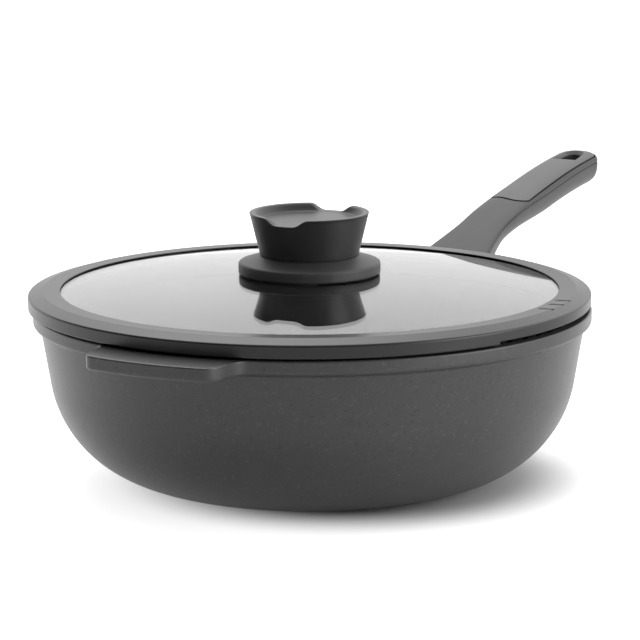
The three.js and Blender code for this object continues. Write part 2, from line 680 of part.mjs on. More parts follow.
function knobBase() {
  const socketRadius = SPIGOT_RADIUS + CLEARANCE;
  return ring([
    at(screwHole, sealCeiling),
    at(SEAL_RADIUS + CLEARANCE, sealCeiling),
    at(SEAL_RADIUS + CLEARANCE, flangeBottom),
    at(FLANGE_RADIUS - FLANGE_ROUND, flangeBottom),
    at(FLANGE_RADIUS, flangeBottom + FLANGE_ROUND),
    at(FLANGE_RADIUS, flangeEdgeTop - FLANGE_ROUND),
    at(FLANGE_RADIUS - FLANGE_ROUND, flangeEdgeTop),
    at(KNOB_FOOT_RADIUS + FLANGE_ROUND, flangeTop - FLANGE_ROUND / 2),
    at(KNOB_FOOT_RADIUS, flangeTop),
    at(socketRadius, flangeTop),
    at(socketRadius, socketFloor),
    at(screwHole, socketFloor),
  ], KNOB_SIDES);
}

// Gasket between flange and glass. Its underside follows the dome.
function knobSeal() {
  const radii = [GLASS_HOLE_RADIUS, SEAL_RADIUS / 2, SEAL_RADIUS];
  const under = radii.map((r) => at(r, glassTopAt(r) + CLEARANCE));
  const top = sealCeiling - CLEARANCE;
  return ring([...under, at(SEAL_RADIUS, top), at(GLASS_HOLE_RADIUS, top)], KNOB_SIDES);
}

function knobInsert() {
  return washer(screwHole, INSERT_RADIUS, insertBottom, insertTop, SMALL_SIDES);
}

function underSeal() {
  return washer(screwHole, UNDER_SEAL_RADIUS, underSealBottom, underSealTop, KNOB_SIDES);
}

function underWasher() {
  return washer(screwHole, UNDER_WASHER_RADIUS, underWasherBottom, underWasherTop, KNOB_SIDES);
}

function knobScrew() {
  const headBottom = screwHeadTop - SCREW_HEAD_HEIGHT;
  const head = turned([
    at(0, headBottom),
    at(SCREW_HEAD_RADIUS / 2, headBottom),
    at(SCREW_HEAD_RADIUS, headBottom + SCREW_HEAD_HEIGHT / 2),
    at(SCREW_HEAD_RADIUS, screwHeadTop),
    at(0, screwHeadTop),
  ], SMALL_SIDES);
  return join(head, post(SCREW_RADIUS, screwHeadTop - 1, insertTop - SCREW_END_SPACE, SMALL_SIDES));
}

// The object

const pan = new THREE.Group();
pan.add(piece('pan_body', panBody(), 0x3f4041, 0.6, 0.1));
pan.add(piece('induction_disc', inductionDisc(), 0xb4b6b8, 0.35, 1));

const handle = new THREE.Group();
handle.add(piece('handle_core', handleCore(), 0x3a3b3c, 0.6, 0));
handle.add(piece('handle_cap', handleCap(), 0x434445, 0.55, 0));
handle.add(piece('grip_pad', gripPad(), 0x4a4b4c, 0.75, 0));
handle.add(piece('handle_bolt', handleBolt(), 0xb8babc, 0.3, 1));
handle.add(piece('bolt_washer', boltWasher(), 0xb8babc, 0.3, 1));
pan.add(handle);

const lid = new THREE.Group();
lid.add(piece('lid_rim', lidRim(), 0x4c4d4e, 0.7, 0));
lid.add(piece('lid_glass', lidGlass(), 0xdfe6e4, 0.05, 0));

const knob = new THREE.Group();
knob.add(piece('knob_body', knobBody(), 0x262728, 0.5, 0));
knob.add(piece('knob_base', knobBase(), 0x2e2f30, 0.5, 0));
knob.add(piece('knob_seal', knobSeal(), 0x161616, 0.8, 0));
knob.add(piece('knob_insert', knobInsert(), 0xb08d4a, 0.35, 1));
knob.add(piece('under_seal', underSeal(), 0x161616, 0.8, 0));
knob.add(piece('under_washer', underWasher(), 0xb8babc, 0.3, 1));
knob.add(piece('knob_screw', knobScrew(), 0xb8babc, 0.3, 1));
lid.add(knob);
const lidShift = LID_SET_SHARE * SKIRT_GAP;
lid.position.set(lidShift * Math.cos(LID_SET_TOWARDS), lidShift * Math.sin(LID_SET_TOWARDS), PAN_HEIGHT);
lid.rotation.z = LID_TURN;

const wok = new THREE.Group();
wok.add(pan, lid);

export default wok;
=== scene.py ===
# %% [markdown]
# # A wok pan with a glass lid
# The pan is a deep cast bowl with a long two-part handle, under a glass lid in a silicone rim.
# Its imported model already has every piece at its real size. This lesson gives each piece a smooth
# surface and a finish, and sets up a plain studio with the camera where the photographer stood.

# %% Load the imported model
import math

import bmesh
import bpy
import numpy as np
from mathutils import Matrix, Vector


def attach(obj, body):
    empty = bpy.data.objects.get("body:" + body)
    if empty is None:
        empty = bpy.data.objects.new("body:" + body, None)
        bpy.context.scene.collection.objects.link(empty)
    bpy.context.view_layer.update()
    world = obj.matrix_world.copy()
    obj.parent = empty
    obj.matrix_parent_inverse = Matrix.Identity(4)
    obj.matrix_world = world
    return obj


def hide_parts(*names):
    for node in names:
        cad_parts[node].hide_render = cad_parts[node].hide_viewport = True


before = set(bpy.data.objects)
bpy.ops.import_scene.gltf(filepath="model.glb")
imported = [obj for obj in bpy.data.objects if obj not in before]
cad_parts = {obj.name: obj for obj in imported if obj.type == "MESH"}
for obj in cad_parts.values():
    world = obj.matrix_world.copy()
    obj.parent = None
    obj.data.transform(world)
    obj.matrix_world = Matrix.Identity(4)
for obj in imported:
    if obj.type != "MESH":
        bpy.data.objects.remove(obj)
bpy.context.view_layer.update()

print("nodes in the packed model:", len(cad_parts))

# %% [markdown]
# ## Camera
# The place of the camera was found by fitting the round rims and the base to their outlines in the
# photograph. It stands far away with a long lens, which is why the rims look so flat. The small
# roll is the tilt of the camera itself.

# %% Camera
scene = bpy.context.scene
scene.view_settings.view_transform = "Standard"

EYE = Vector((-1.5153, -0.8749, 0.4223))
TARGET = Vector((0.00199, -0.00345, 0.08317))
ROLL = math.radians(-0.26)

lens = bpy.data.cameras.new("camera")
lens.sensor_width = 36
lens.lens = 189.85
camera = bpy.data.objects.new("camera", lens)
scene.collection.objects.link(camera)
aim = (TARGET - EYE).to_track_quat("-Z", "Y").to_matrix().to_4x4()
camera.matrix_world = Matrix.Translation(EYE) @ aim @ Matrix.Rotation(ROLL, 4, "Z")
scene.camera = camera
print("camera distance in metres:", round((TARGET - EYE).length, 3))

# %% [markdown]
# ## Writing materials as sums
# A finish is a net of nodes. Linking them by hand hides what they work out, so a small class stands
# for one socket, and arithmetic on it adds the Math nodes. Everything else goes through node(),
# which takes the kind of node, its settings, and the values or links of its sockets.

# %% Values and finishes
class Value:
    """One output socket of a node. Arithmetic on it adds Math nodes to the same tree."""

    def __init__(self, finish, socket):
        self.finish = finish
        self.socket = socket

    def worked(self, operation, first, second):
        return self.finish.node("ShaderNodeMath", {"operation": operation}, {0: first, 1: second})

    def __add__(self, other):
        return self.worked("ADD", self, other)

    def __radd__(self, other):
        return self.worked("ADD", other, self)

    def __rsub__(self, other):
        return self.worked("SUBTRACT", other, self)

    def __mul__(self, other):
        return self.worked("MULTIPLY", self, other)

    def __rmul__(self, other):
        return self.worked("MULTIPLY", other, self)


class Finish:
    """The nodes of one material, of the world or of a lamp."""

    def __init__(self, owner):
        self.owner = owner
        owner.use_nodes = True
        self.tree = owner.node_tree
        self.tree.nodes.clear()

    def node(self, kind, settings=None, sockets=None, output=0):
        """Adds a node: its settings first, then its sockets. Returns one of its outputs."""
        made = self.tree.nodes.new(kind)
        for name, setting in (settings or {}).items():
            setattr(made, name, setting)
        for name, value in (sockets or {}).items():
            if isinstance(value, Value):
                self.tree.links.new(value.socket, made.inputs[name])
            else:
                made.inputs[name].default_value = value
        return Value(self, made.outputs[output] if made.outputs else None)

    def place(self):
        return self.node("ShaderNodeTexCoord", output="Object")

    def noise(self, scale, detail=2, where=None):
        sockets = {"Vector": where or self.place(), "Scale": scale, "Detail": detail}
        return self.node("ShaderNodeTexNoise", sockets=sockets)

    def cells(self, scale):
        """Distance from the middle of the nearest of many small random cells."""
        sockets = {"Vector": self.place(), "Scale": scale}
        return self.node("ShaderNodeTexVoronoi", sockets=sockets, output="Distance")

    def fade(self, value, low, high):
        """0 at low, 1 at high, smooth between."""
        sockets = {"Value": value, "From Min": low, "From Max": high}
        return self.node("ShaderNodeMapRange", {"interpolation_type": "SMOOTHSTEP"}, sockets)

    def measured(self, operation, first, second):
        """One number from two vectors, such as their distance."""
        sockets = {0: first, 1: second}
        return self.node("ShaderNodeVectorMath", {"operation": operation}, sockets, "Value")

    def is_ray(self, kind):
        """1 for light paths of one kind, 0 for all others."""
        return self.node("ShaderNodeLightPath", output=f"Is {kind} Ray")

    def mixed(self, first, second, share):
        """A colour between two colours."""
        return self.node("ShaderNodeMix", {"data_type": "RGBA"}, {0: share, 6: first, 7: second}, 2)

    def bump(self, height, distance):
        return self.node("ShaderNodeBump", sockets={"Height": height, "Distance": distance})

    def surface(self, **sockets):
        """The Principled shader, with underscores for the spaces in its socket names."""
        named = {name.replace("_", " "): value for name, value in sockets.items()}
        shader = self.node("ShaderNodeBsdfPrincipled", sockets=named)
        self.node("ShaderNodeOutputMaterial", sockets={"Surface": shader})
        return self.owner


def grey(level, warm=0.0):
    """A grey of one level, a little warmer or cooler."""
    return (level * (1 + warm), level, level * (1 - warm), 1)


print("finish helpers are ready")

# %% [markdown]
# ## Cast aluminium with a non-stick coat
# The bowl is cast, blasted and sprayed inside and out with a dark coating that has fine mineral
# flecks in it. A flat grey would look like paint on plastic. The middles of small cells give the
# flecks, one noise says which of them are pale, dark or not there, a finer noise gives the sprayed
# grain, and a broad noise the slow change of tone.

# %% Coating of the bowl
FLECKS_PER_METRE = 800
GRAINS_PER_METRE = 1700
FLECK_STRENGTH = 0.6
GRAIN_HEIGHT = 3e-5

coat = Finish(bpy.data.materials.new("flecked_coating"))
fleck_near = coat.fade(coat.cells(FLECKS_PER_METRE), 0.45, 0.2)
fleck_kind = coat.noise(330, 2)
pale_fleck = fleck_near * coat.fade(fleck_kind, 0.56, 0.62)
dark_fleck = fleck_near * coat.fade(fleck_kind, 0.44, 0.38)
coat_grain = coat.noise(GRAINS_PER_METRE, 3)
coat_tone = coat.mixed(grey(0.054), grey(0.07), coat.noise(16))
coat_tone = coat.mixed(coat_tone, grey(0.13), pale_fleck * FLECK_STRENGTH)
coat_tone = coat.mixed(coat_tone, grey(0.02), dark_fleck * FLECK_STRENGTH)
coating = coat.surface(
    Base_Color=coat_tone,
    Roughness=0.26 + coat_grain * 0.12,
    Normal=coat.bump(coat_grain + fleck_near * 0.4, GRAIN_HEIGHT),
)
print("finish:", coating.name)

# %% [markdown]
# ## Moulded resin and rubber
# The handle shells, the knob, the pad and the seals are moulded. Such moulds are etched, so the
# parts come out with a fine even grain that breaks up highlights. One function makes the family,
# and each member has its own tone, roughness and size of grain. The pad also gets painted shade on
# its steep edges, a darker colour where the groove's shadow falls, which draws the groove round it.

# %% Moulded finishes
def moulded(name, tone, rough, fine, depth, shine=0.5, painted_shade=0.0):
    """A matte moulded finish: etched grain in the bump, faint mottling in tone and roughness.

    Steep faces can get painted shade, a darker colour that stands in for the shadow along a groove.
    Shine is how strongly the surface mirrors.
    """
    mould = Finish(bpy.data.materials.new(name))
    grain = mould.noise(fine, 3)
    patch = mould.noise(45, 2)
    colour = mould.mixed(grey(tone * 0.86), grey(tone * 1.14), 0.6 * patch + 0.4 * grain)
    # Painted shade: steep faces get a darker colour, standing in for the shadow in the groove round
    # the pad.
    if painted_shade:
        outward = mould.node("ShaderNodeNewGeometry", output="Normal")
        level = mould.node("ShaderNodeSeparateXYZ", sockets={0: outward}, output="Z")
        colour = mould.mixed(colour, grey(tone * 0.1), painted_shade * mould.fade(level, 0.7, 0.3))
    return mould.surface(
        Base_Color=colour,
        Roughness=rough - 0.06 + 0.12 * grain,
        Specular_IOR_Level=shine,
        Normal=mould.bump(grain, depth),
    )


handle_resin = moulded("etched_handle_resin", tone=0.08, rough=0.42, fine=1500, depth=4e-5, shine=0.25)
# The pad's steep edges get painted shade, which gives the dark line of its groove.
pad_rubber = moulded("soft_pad_rubber", tone=0.13, rough=0.5, fine=1100, depth=5e-5, painted_shade=0.9)
knob_resin = moulded("etched_knob_resin", tone=0.034, rough=0.35, fine=1700, depth=3e-5)
flange_resin = moulded("etched_flange_resin", tone=0.054, rough=0.5, fine=1500, depth=4e-5)
rim_silicone = moulded("dark_silicone", tone=0.02, rough=0.31, fine=1300, depth=3e-5)
seal_rubber = moulded("black_seal_rubber", tone=0.015, rough=0.7, fine=1200, depth=6e-5)
print("finishes so far:", len(bpy.data.materials))

# %% [markdown]
# ## Turned metal
# The disc in the base, the washers and the screws are turned on a lathe or rolled, which leaves
# fine rings. Noise that is read at the distance from the axis and at the height, and at the same
# place for every angle, makes rings without drawing each one. A Mapping node moves the axis to the
# part.

# %% Turned metals
def ringed(name, low, high, rough, rings, axis=(0, 0)):
    """Metal with turning marks: noise along the distance from an upright axis, in metres."""
    metal = Finish(bpy.data.materials.new(name))
    shift = {"Vector": metal.place(), "Location": (-axis[0], -axis[1], 0)}
    spot = metal.node("ShaderNodeMapping", sockets=shift)
    flat = metal.node("ShaderNodeVectorMath", {"operation": "MULTIPLY"}, {0: spot, 1: (1, 1, 0)})
    out = metal.node("ShaderNodeVectorMath", {"operation": "LENGTH"}, {0: flat}, "Value")
    height = metal.node("ShaderNodeSeparateXYZ", sockets={0: spot}, output="Z")
    read_at = metal.node("ShaderNodeCombineXYZ", sockets={0: out, 1: height * 0.5})
    marks = metal.noise(rings, 3, read_at)
    return metal.surface(
        Base_Color=metal.mixed(low, high, marks),
        Metallic=1.0,
        Roughness=rough + 0.2 * marks,
        Normal=metal.bump(marks, 0.00002),
    )


print("turned metals are made where their parts are")

# %% [markdown]
# ## Tempered glass
# Clear glass is all reflection and refraction. At the low angle of the photograph it mirrors the
# bright room behind it. A very slight waviness, as rolled glass has, keeps it from looking like a
# perfect lens.

# %% Glass of the lid
clear = Finish(bpy.data.materials.new("tempered_glass"))
glass = clear.surface(
    Base_Color=clear.mixed((0.97, 0.985, 0.98, 1), (1, 1, 1, 1), clear.noise(20)),
    Roughness=0.012 * clear.noise(60),
    Transmission_Weight=1.0,
    IOR=1.52,
    Normal=clear.bump(clear.noise(14, 0), 0.00001),
)
print("finish:", glass.name)

# %% [markdown]
# ## From arrays to surfaces
# Most of these pieces are turned or drawn along a line, so each is a grid of points: one direction
# runs along a profile, the other round the axis or along the path. Numpy works out the whole grid
# at once, and every four neighbours share a face. Lengths are in millimetres until the last step.

# %% Profiles and grids
MM = 0.001


def arc(radius_at, height_at, radius, start, stop, steps):
    """Profile points on a circle, from one angle to another, in degrees."""
    angle = np.radians(np.linspace(start, stop, steps))
    return np.stack([radius_at + radius * np.cos(angle), height_at + radius * np.sin(angle)], axis=-1)


def rounded(corners, steps=6):
    """A profile with its corners rounded, as rows of (radius, height, ...).

    The last column of corners is how far from the corner the rounding starts. From there a quadratic
    curve, corner + start (1-t)^2 + end t^2, leaves one edge and meets the next. A point just beyond
    each end keeps flat parts flat under smooth shading.
    """
    corners = np.asarray(corners, float)
    spot, reach = corners[:, None, :-1], corners[:, None, -1:]
    back = np.roll(spot, 1, axis=0) - spot
    ahead = np.roll(spot, -1, axis=0) - spot
    start = reach * back / np.linalg.norm(back[..., :2], axis=-1, keepdims=True)
    end = reach * ahead / np.linalg.norm(ahead[..., :2], axis=-1, keepdims=True)
    t = np.linspace(0, 1, steps)[None, :, None]
    curve = spot + start * (1 - t) ** 2 + end * t**2
    beyond = 1.3
    points = np.concatenate([spot + beyond * start, curve, spot + beyond * end], axis=1)
    points = points.reshape(-1, spot.shape[-1])
    moved = np.abs(np.diff(points, axis=0, append=points[:1])).max(axis=1) > 1e-6
    return points[moved]


def spun(r, angles, z):
    """Points round the upright axis: (r cos a, r sin a, z)."""
    return np.stack(np.broadcast_arrays(r * np.cos(angles), r * np.sin(angles), z), axis=-1)


def turned(profile, angles):
    """A profile of (radius, height) turned about the upright axis."""
    return spun(profile[:, :1], angles, profile[:, 1:2])


FULL_TURN = np.linspace(0, 2 * np.pi, 240, endpoint=False)
print("grid helpers are ready, with", len(FULL_TURN), "columns to a full turn")

# %% Meshes and pieces
MERGE = 1e-7
SHARP = math.radians(38)


def mesh_of(name, points, loop=False):
    """A mesh of a grid of points. Columns always join up; with loop the rows do too.

    Copies of a point on the axis are merged, which closes the poles, and faces are turned outward.
    """
    rows, columns = points.shape[:2]
    index = np.arange(rows * columns).reshape(rows, columns)
    index = np.hstack([index, index[:, :1]])
    index = np.vstack([index, index[:1]]) if loop else index
    faces = np.stack([index[:-1, :-1], index[:-1, 1:], index[1:, 1:], index[1:, :-1]], axis=-1)
    mesh = bpy.data.meshes.new(name)
    mesh.from_pydata((points.reshape(-1, 3) * MM).tolist(), [], faces.reshape(-1, 4).tolist())
    work = bmesh.new()
    work.from_mesh(mesh)
    bmesh.ops.remove_doubles(work, verts=work.verts, dist=MERGE)
    bmesh.ops.recalc_face_normals(work, faces=work.faces)
    work.to_mesh(mesh)
    work.free()
    return mesh


def without_slivers(mesh):
    """Cleans up after Booleans, which leave many-sided faces.

    These become triangles. Where two faces have the same corners, back to back, both go.
    """
    work = bmesh.new()
    work.from_mesh(mesh)
    bmesh.ops.remove_doubles(work, verts=work.verts, dist=MERGE)
    bmesh.ops.triangulate(work, faces=[face for face in work.faces if len(face.verts) > 4])
    twins = {}
    for face in work.faces:
        twins.setdefault(frozenset(corner.index for corner in face.verts), []).append(face)
    doubled = [face for group in twins.values() if len(group) > 1 for face in group]
    bmesh.ops.delete(work, geom=doubled, context="FACES_ONLY")
    work.to_mesh(mesh)
    work.free()


def cut_away(piece, tools):
    """Takes closed shapes away from a piece with exact Booleans, applied at once."""
    for tool_mesh in tools:
        tool = bpy.data.objects.new("tool", tool_mesh)
        scene.collection.objects.link(tool)
        step = piece.modifiers.new("cut", "BOOLEAN")
        step.operation = "DIFFERENCE"
        step.solver = "EXACT"
        step.object = tool
        worked_out = piece.evaluated_get(bpy.context.evaluated_depsgraph_get())
        left = bpy.data.meshes.new_from_object(worked_out)
        piece.modifiers.clear()
        piece.data = left
        bpy.data.objects.remove(tool)
    if tools:
        without_slivers(piece.data)


def settle(name, mesh, finish, body, nodes, tools=()):
    """Makes a piece of a mesh: finish, smooth shading, and the body and nodes it belongs to."""
    piece = bpy.data.objects.new(name, mesh)
    scene.collection.objects.link(piece)
    mesh.materials.append(finish)
    cut_away(piece, tools)
    piece.data.name = name
    piece.data.shade_smooth()
    piece.data.set_sharp_from_angle(angle=SHARP)
    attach(piece, body)
    if nodes:
        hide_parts(*nodes)
    print(name, "has", len(piece.data.polygons), "faces")


print("mesh helpers are ready")

# %% [markdown]
# ## The bowl
# A casting: thick floor, a large round knuckle, a wall that leans out a little, and a rim band. On
# one side the band grows into a helper lip. It could be a separate plate joined on, but on the real
# pan metal flows from band to lip, so the lip is worked into the turned surface: every profile
# point has a share, 0 to 1, of how far the rim stands out at that angle.

# %% Sizes of the bowl
GAP = 0.3
HEIGHT = 91.1
MOUTH = 141.15
WALL = 3.4
LEAN = math.radians(9.4)
KNUCKLE = 62.3
INNER_KNUCKLE = 56
FOOT = 0.4
FLOOR = 6.5
BAND_LOW = HEIGHT - 6.6
UNDERCUT = BAND_LOW - 2.2
DISC_THICK = 1.4
WALL_TOP = MOUTH + WALL / math.cos(LEAN)
BAND = WALL_TOP + 2.45
BAND_EDGE = 1.4


def outer_wall(z):
    """Radius of the outside of the wall at a height."""
    return WALL_TOP - (HEIGHT - z) * math.tan(LEAN)


def inner_wall(z):
    """Radius of the inside of the wall at a height."""
    return MOUTH - (HEIGHT - z) * math.tan(LEAN)


def knuckle_centre(radius, low, wall):
    """Centre of the arc that leaves a flat at height low and meets the leaning wall."""
    z = low + radius
    return wall(z - radius * math.sin(LEAN)) - radius * math.cos(LEAN), z


BASE, KNUCKLE_Z = knuckle_centre(KNUCKLE, FOOT, outer_wall)
INNER_BASE, INNER_Z = knuckle_centre(INNER_KNUCKLE, FLOOR, inner_wall)
DISC = BASE - 6
print("rim band radius", round(BAND, 2), "mm, flat of the base", round(BASE, 2), "mm")

# %% Bowl with its helper lip
LIP_REACH = 23.5
LIP_ROOT = np.radians(18)
LIP_TIP = np.radians(10.4)
LIP_MIDDLE = np.radians(180.9)
LIP_PULL = 0.55 * LIP_REACH


def bezier(first, second, steps):
    """Two coordinates along a cubic Bezier curve, from the four control values of each."""
    t = np.linspace(0, 1, steps)
    blend = np.stack([(1 - t) ** 3, 3 * t * (1 - t) ** 2, 3 * t**2 * (1 - t), t**3])
    return np.array(first) @ blend, np.array(second) @ blend


def lip_reach(angle):
    """How far the rim stands out beyond the band, by angle from the middle of the lip.

    Each flank is a cubic Bezier curve in angle and reach, level where it leaves the band and again
    where it meets the outer edge of the lip.
    """
    root_pull = LIP_PULL / BAND
    tip_pull = LIP_PULL / (BAND + LIP_REACH)
    corners = [LIP_ROOT, LIP_ROOT - root_pull, LIP_TIP + tip_pull, LIP_TIP]
    swing, reach = bezier(corners, [0, 0, LIP_REACH, LIP_REACH], 200)
    return np.interp(np.abs(angle), swing[::-1], reach[::-1])


def plain(points):
    """Profile points that neither follow the lip nor are rounded."""
    return np.column_stack([points, np.zeros((len(points), 2))])


def bowl_points():
    """Bowl: radius r + share * lip(angle), from the disc's recess round the outside to the floor.

    The columns of the profile are radius, height, share and rounding.
    """
    lean = math.degrees(LEAN)
    band_in = BAND - BAND_EDGE
    slope = (BAND_LOW - UNDERCUT) / (BAND - outer_wall(UNDERCUT))
    corners = np.vstack([
        (0, DISC_THICK + GAP, 0, 0),
        (DISC + GAP, DISC_THICK + GAP, 0, 0),
        (DISC + GAP, FOOT, 0, 0.3),
        plain(arc(BASE, KNUCKLE_Z, KNUCKLE, -90, -lean, 40)),
        (outer_wall(UNDERCUT), UNDERCUT, 0, 0.5),
        (band_in, BAND_LOW - BAND_EDGE * slope, 1, 0),
        (BAND, BAND_LOW, 1, 1.1),
        (BAND, HEIGHT, 1, 0.9),
        (band_in, HEIGHT, 1, 0),
        (MOUTH, HEIGHT, 0, 1.0),
        plain(arc(INNER_BASE, INNER_Z, INNER_KNUCKLE, -lean, -90, 36)),
        (0, FLOOR, 0, 0),
    ])
    profile = rounded(corners)
    flank = np.linspace(LIP_TIP, LIP_ROOT, 60)
    angles = np.unique(np.concatenate([FULL_TURN, LIP_MIDDLE - flank, LIP_MIDDLE + flank]))
    r = profile[:, :1] + profile[:, 2:3] * lip_reach(angles - LIP_MIDDLE)
    return spun(r, angles, profile[:, 1:2])


bowl = mesh_of("bowl", bowl_points())
settle("bowl", bowl, coating, "pan", ["pan_body"])

# %% [markdown]
# ## Steel disc in the base
# Induction needs steel, so a disc is pressed into the aluminium. Its face is turned, with shallow
# ring grooves that keep it flat as it heats. A profile with the grooves in it is turned about the
# axis.

# %% Induction disc
disc_steel = ringed("turned_disc_steel", grey(0.42), grey(0.56, 0.02), 0.26, 2600)
RING_GROOVES = (22, 42, 62)
RING_HALF = 1.5
RING_DEEP = 0.4


def disc_points():
    """Disc with ring grooves in its lower face, each a shallow V with rounded corners."""
    grooves = [
        ((r, 0, 0.4), (r + RING_HALF, RING_DEEP, 0.5), (r + 2 * RING_HALF, 0, 0.4))
        for r in RING_GROOVES
    ]
    edge = [(DISC, 0, 0.3), (DISC, DISC_THICK, 0.3), (0, DISC_THICK, 0)]
    return turned(rounded([(0, 0, 0), *sum(grooves, ()), *edge]), FULL_TURN)


disc = mesh_of("base_disc", disc_points())
settle("base_disc", disc, disc_steel, "pan", ["induction_disc"])

# %% [markdown]
# ## The handle's line and section
# The handle leaves the bowl as a wide, deep neck, narrows to a waist, rises in a curve and ends in a
# rounded grip. Its top line is one quadratic curve, its width and depth blend between neck, waist
# and grip, and its section is a superellipse, which is rounder than a box and squarer than an
# ellipse. A seam divides it into a core below and a cap above. Where three sizes stand together,
# they are those at the neck, the waist and the grip.

# %% Handle sizes along its length
REACH = 183
HANDLE_END = BAND + REACH
NECK_X = BAND - 4
WAIST_X = BAND + 55
GRIP_X = BAND + 118
TIP_LENGTH = 10.5
TIP_X = HANDLE_END - TIP_LENGTH
NECK_DROP = 1.8
BEND_RISE = 34.9
TIP_RISE = 42.2
WIDTHS = (44, 28.6, 27.8)
DEPTHS = (33, 14, 19.4)
CAP_RISES = (2, 2, 5.7)
SQUARE = 2.6
TIP_ROUND = 2.2
TIP_BLUNT = 3.5
TIP_FLAT = 0.3


def smooth(x, low, high):
    """0 at low, 1 at high, level at both: 3t^2 - 2t^3."""
    t = np.clip((x - low) / (high - low), 0, 1)
    return t * t * (3 - 2 * t)


def along(x, neck, waist, grip):
    """A size that blends from the neck through the waist to the grip."""
    to_waist = (waist - neck) * smooth(x, NECK_X, WAIST_X)
    to_grip = (grip - waist) * smooth(x, WAIST_X, GRIP_X)
    return neck + to_waist + to_grip


def top_line(x):
    """Height of the middle of the top: a quadratic Bezier curve over the handle's length."""
    u = (x - BAND) / REACH
    return HEIGHT - NECK_DROP * (1 - u) ** 2 + BEND_RISE * 2 * u * (1 - u) + TIP_RISE * u**2


def tip_share(x, power, length=TIP_LENGTH):
    """1 along the handle, falling to 0 round the tip along a superellipse: (1 - t^n)^(1/n)."""
    t = np.clip((x - TIP_X) / length, 0, 1)
    return (1 - t**power) ** (1 / power)


def section(x):
    """Half width, height of the seam, rise of the cap and drop of the core, along the handle."""
    cap = along(x, *CAP_RISES)
    blunt = tip_share(x, TIP_BLUNT)
    half = along(x, *WIDTHS) / 2 * tip_share(x, TIP_ROUND)
    return half, top_line(x) - cap, cap * blunt, (along(x, *DEPTHS) - cap) * blunt


def stations(start, stop, body, tip):
    """Distances along the handle, closing up round the tip."""
    even = np.linspace(start, TIP_X, body, endpoint=False)
    close = TIP_X + (stop - TIP_X) * np.sin(np.linspace(0, np.pi / 2, tip))
    return np.concatenate([even, close])


print("handle runs from", round(NECK_X, 1), "to", round(HANDLE_END, 1), "mm")

# %% Halves of the handle
BOWL_GAP = 0.8
NECK_RUN = 18
SEAM_EASE = 0.4
SEAM_FADE = 0.35


def capped(points):
    """A row of closed loops, with each end loop drawn in to its middle so that the ends close."""
    middle = points[[0, -1]].mean(axis=1, keepdims=True) + 0 * points[[0, -1]]
    return np.concatenate([middle[:1], points, middle[1:]])


def squarer(wave, power):
    """A sine or cosine made squarer, for a superellipse: sign(w) |w|^(2/n)."""
    return np.sign(wave) * np.abs(wave) ** (2 / power)


def clear_of_bowl(points):
    """Draws the first stretch of the handle up to the bowl: its end follows wall and band."""
    x, y, z = np.moveaxis(points, -1, 0)
    below_neck, above_neck = 50, 130
    low = UNDERCUT - BOWL_GAP
    heights = [below_neck, low, BAND_LOW - BOWL_GAP, above_neck]
    radii = np.array([outer_wall(below_neck), outer_wall(low), BAND, BAND]) + BOWL_GAP
    start = np.sqrt(np.interp(z, heights, radii) ** 2 - y**2)
    stop = NECK_X + NECK_RUN
    share = np.clip((x - NECK_X) / NECK_RUN, 0, 1)
    return np.stack([np.where(x < stop, start + (stop - start) * share, x), y, z], axis=-1)


def handle_half(side):
    """One half of the section carried along the handle: side 1 above the seam, -1 below it.

    y = half * cos^(2/n), z = seam + side * tall * sin^(2/n). Next to the seam the edge is eased by a
    fraction of a millimetre, which gives the fine dark line between the halves.
    """
    x = stations(NECK_X, HANDLE_END - TIP_FLAT, 110, 26)[:, None]
    angle = np.pi * (1 - np.cos(np.linspace(0, np.pi, 73))) / 2
    half, seam, rise, drop = section(x)
    tall = np.maximum((rise if side > 0 else drop) - GAP / 2, 0)
    up = tall * squarer(np.sin(angle), SQUARE)
    ease = np.minimum(SEAM_EASE, half / 2) * np.exp(-up / SEAM_FADE)
    y = (half - ease) * squarer(np.cos(angle), SQUARE)
    points = np.stack([x + 0 * y, side * y, seam + side * (GAP / 2 + up)], axis=-1)
    return capped(clear_of_bowl(points))


print("half section grid:", handle_half(1).shape)

# %% [markdown]
# ## Hanging hole, pad, lug and bolt
# The grip has a hole to hang the pan by: bowed across the front, round towards the tip, and flared
# on top so that a hook slides in. It goes through cap, core and pad, so it is made once as a solid
# and taken away from each. The recess of the pad, the socket of the lug that is cast on the bowl and
# the way for the bolt are solids to take away too.

# %% Shapes to take away
HOLE_END = HANDLE_END - 9
HOLE_LONG = 16.9
HOLE_ROUND = 4.6
HOLE_FRONT = 6
HOLE_BOW = 1.2
HOLE_FLARE = 2.2
PAD_FRONT = BAND + 82
PAD_CORNER = 4
PAD_THICK = 2
PAD_INSET = 2.1
PAD_SWING = 3.8
SWING_RUN = 14
FRONT_GROWTH = 1.8
LUG_REACH = 33
LUG_ROOT = 7
LUG_HALF = 11
LUG_COVER = 5.2
LUG_SQUARE = 8


def hanging_hole():
    """Hole outline carried upward: straight, then growing evenly sideways to the top.

    Towards the tip it is half a circle. Its front edge is bowed, x = corner - 4 bow t (1 - t).
    """
    below, above = -40, 3
    lift = np.array([below, -HOLE_FLARE, above])[:, None]
    grow = np.array([0, 0, above + HOLE_FLARE])[:, None]
    turn = np.radians(np.linspace(-90, 90, 37))
    end_x = HOLE_END - HOLE_ROUND + (HOLE_ROUND + grow) * np.cos(turn)
    end_y = (HOLE_ROUND + grow) * np.sin(turn)
    t = np.linspace(0, 1, 26)
    front_x = HOLE_END - HOLE_LONG - grow + HOLE_BOW - 4 * HOLE_BOW * t * (1 - t)
    front_y = (HOLE_FRONT + grow) * (1 - 2 * t)
    x = np.hstack([end_x, front_x])
    return capped(np.stack([x, np.hstack([end_y, front_y]), top_line(x) + lift], axis=-1))


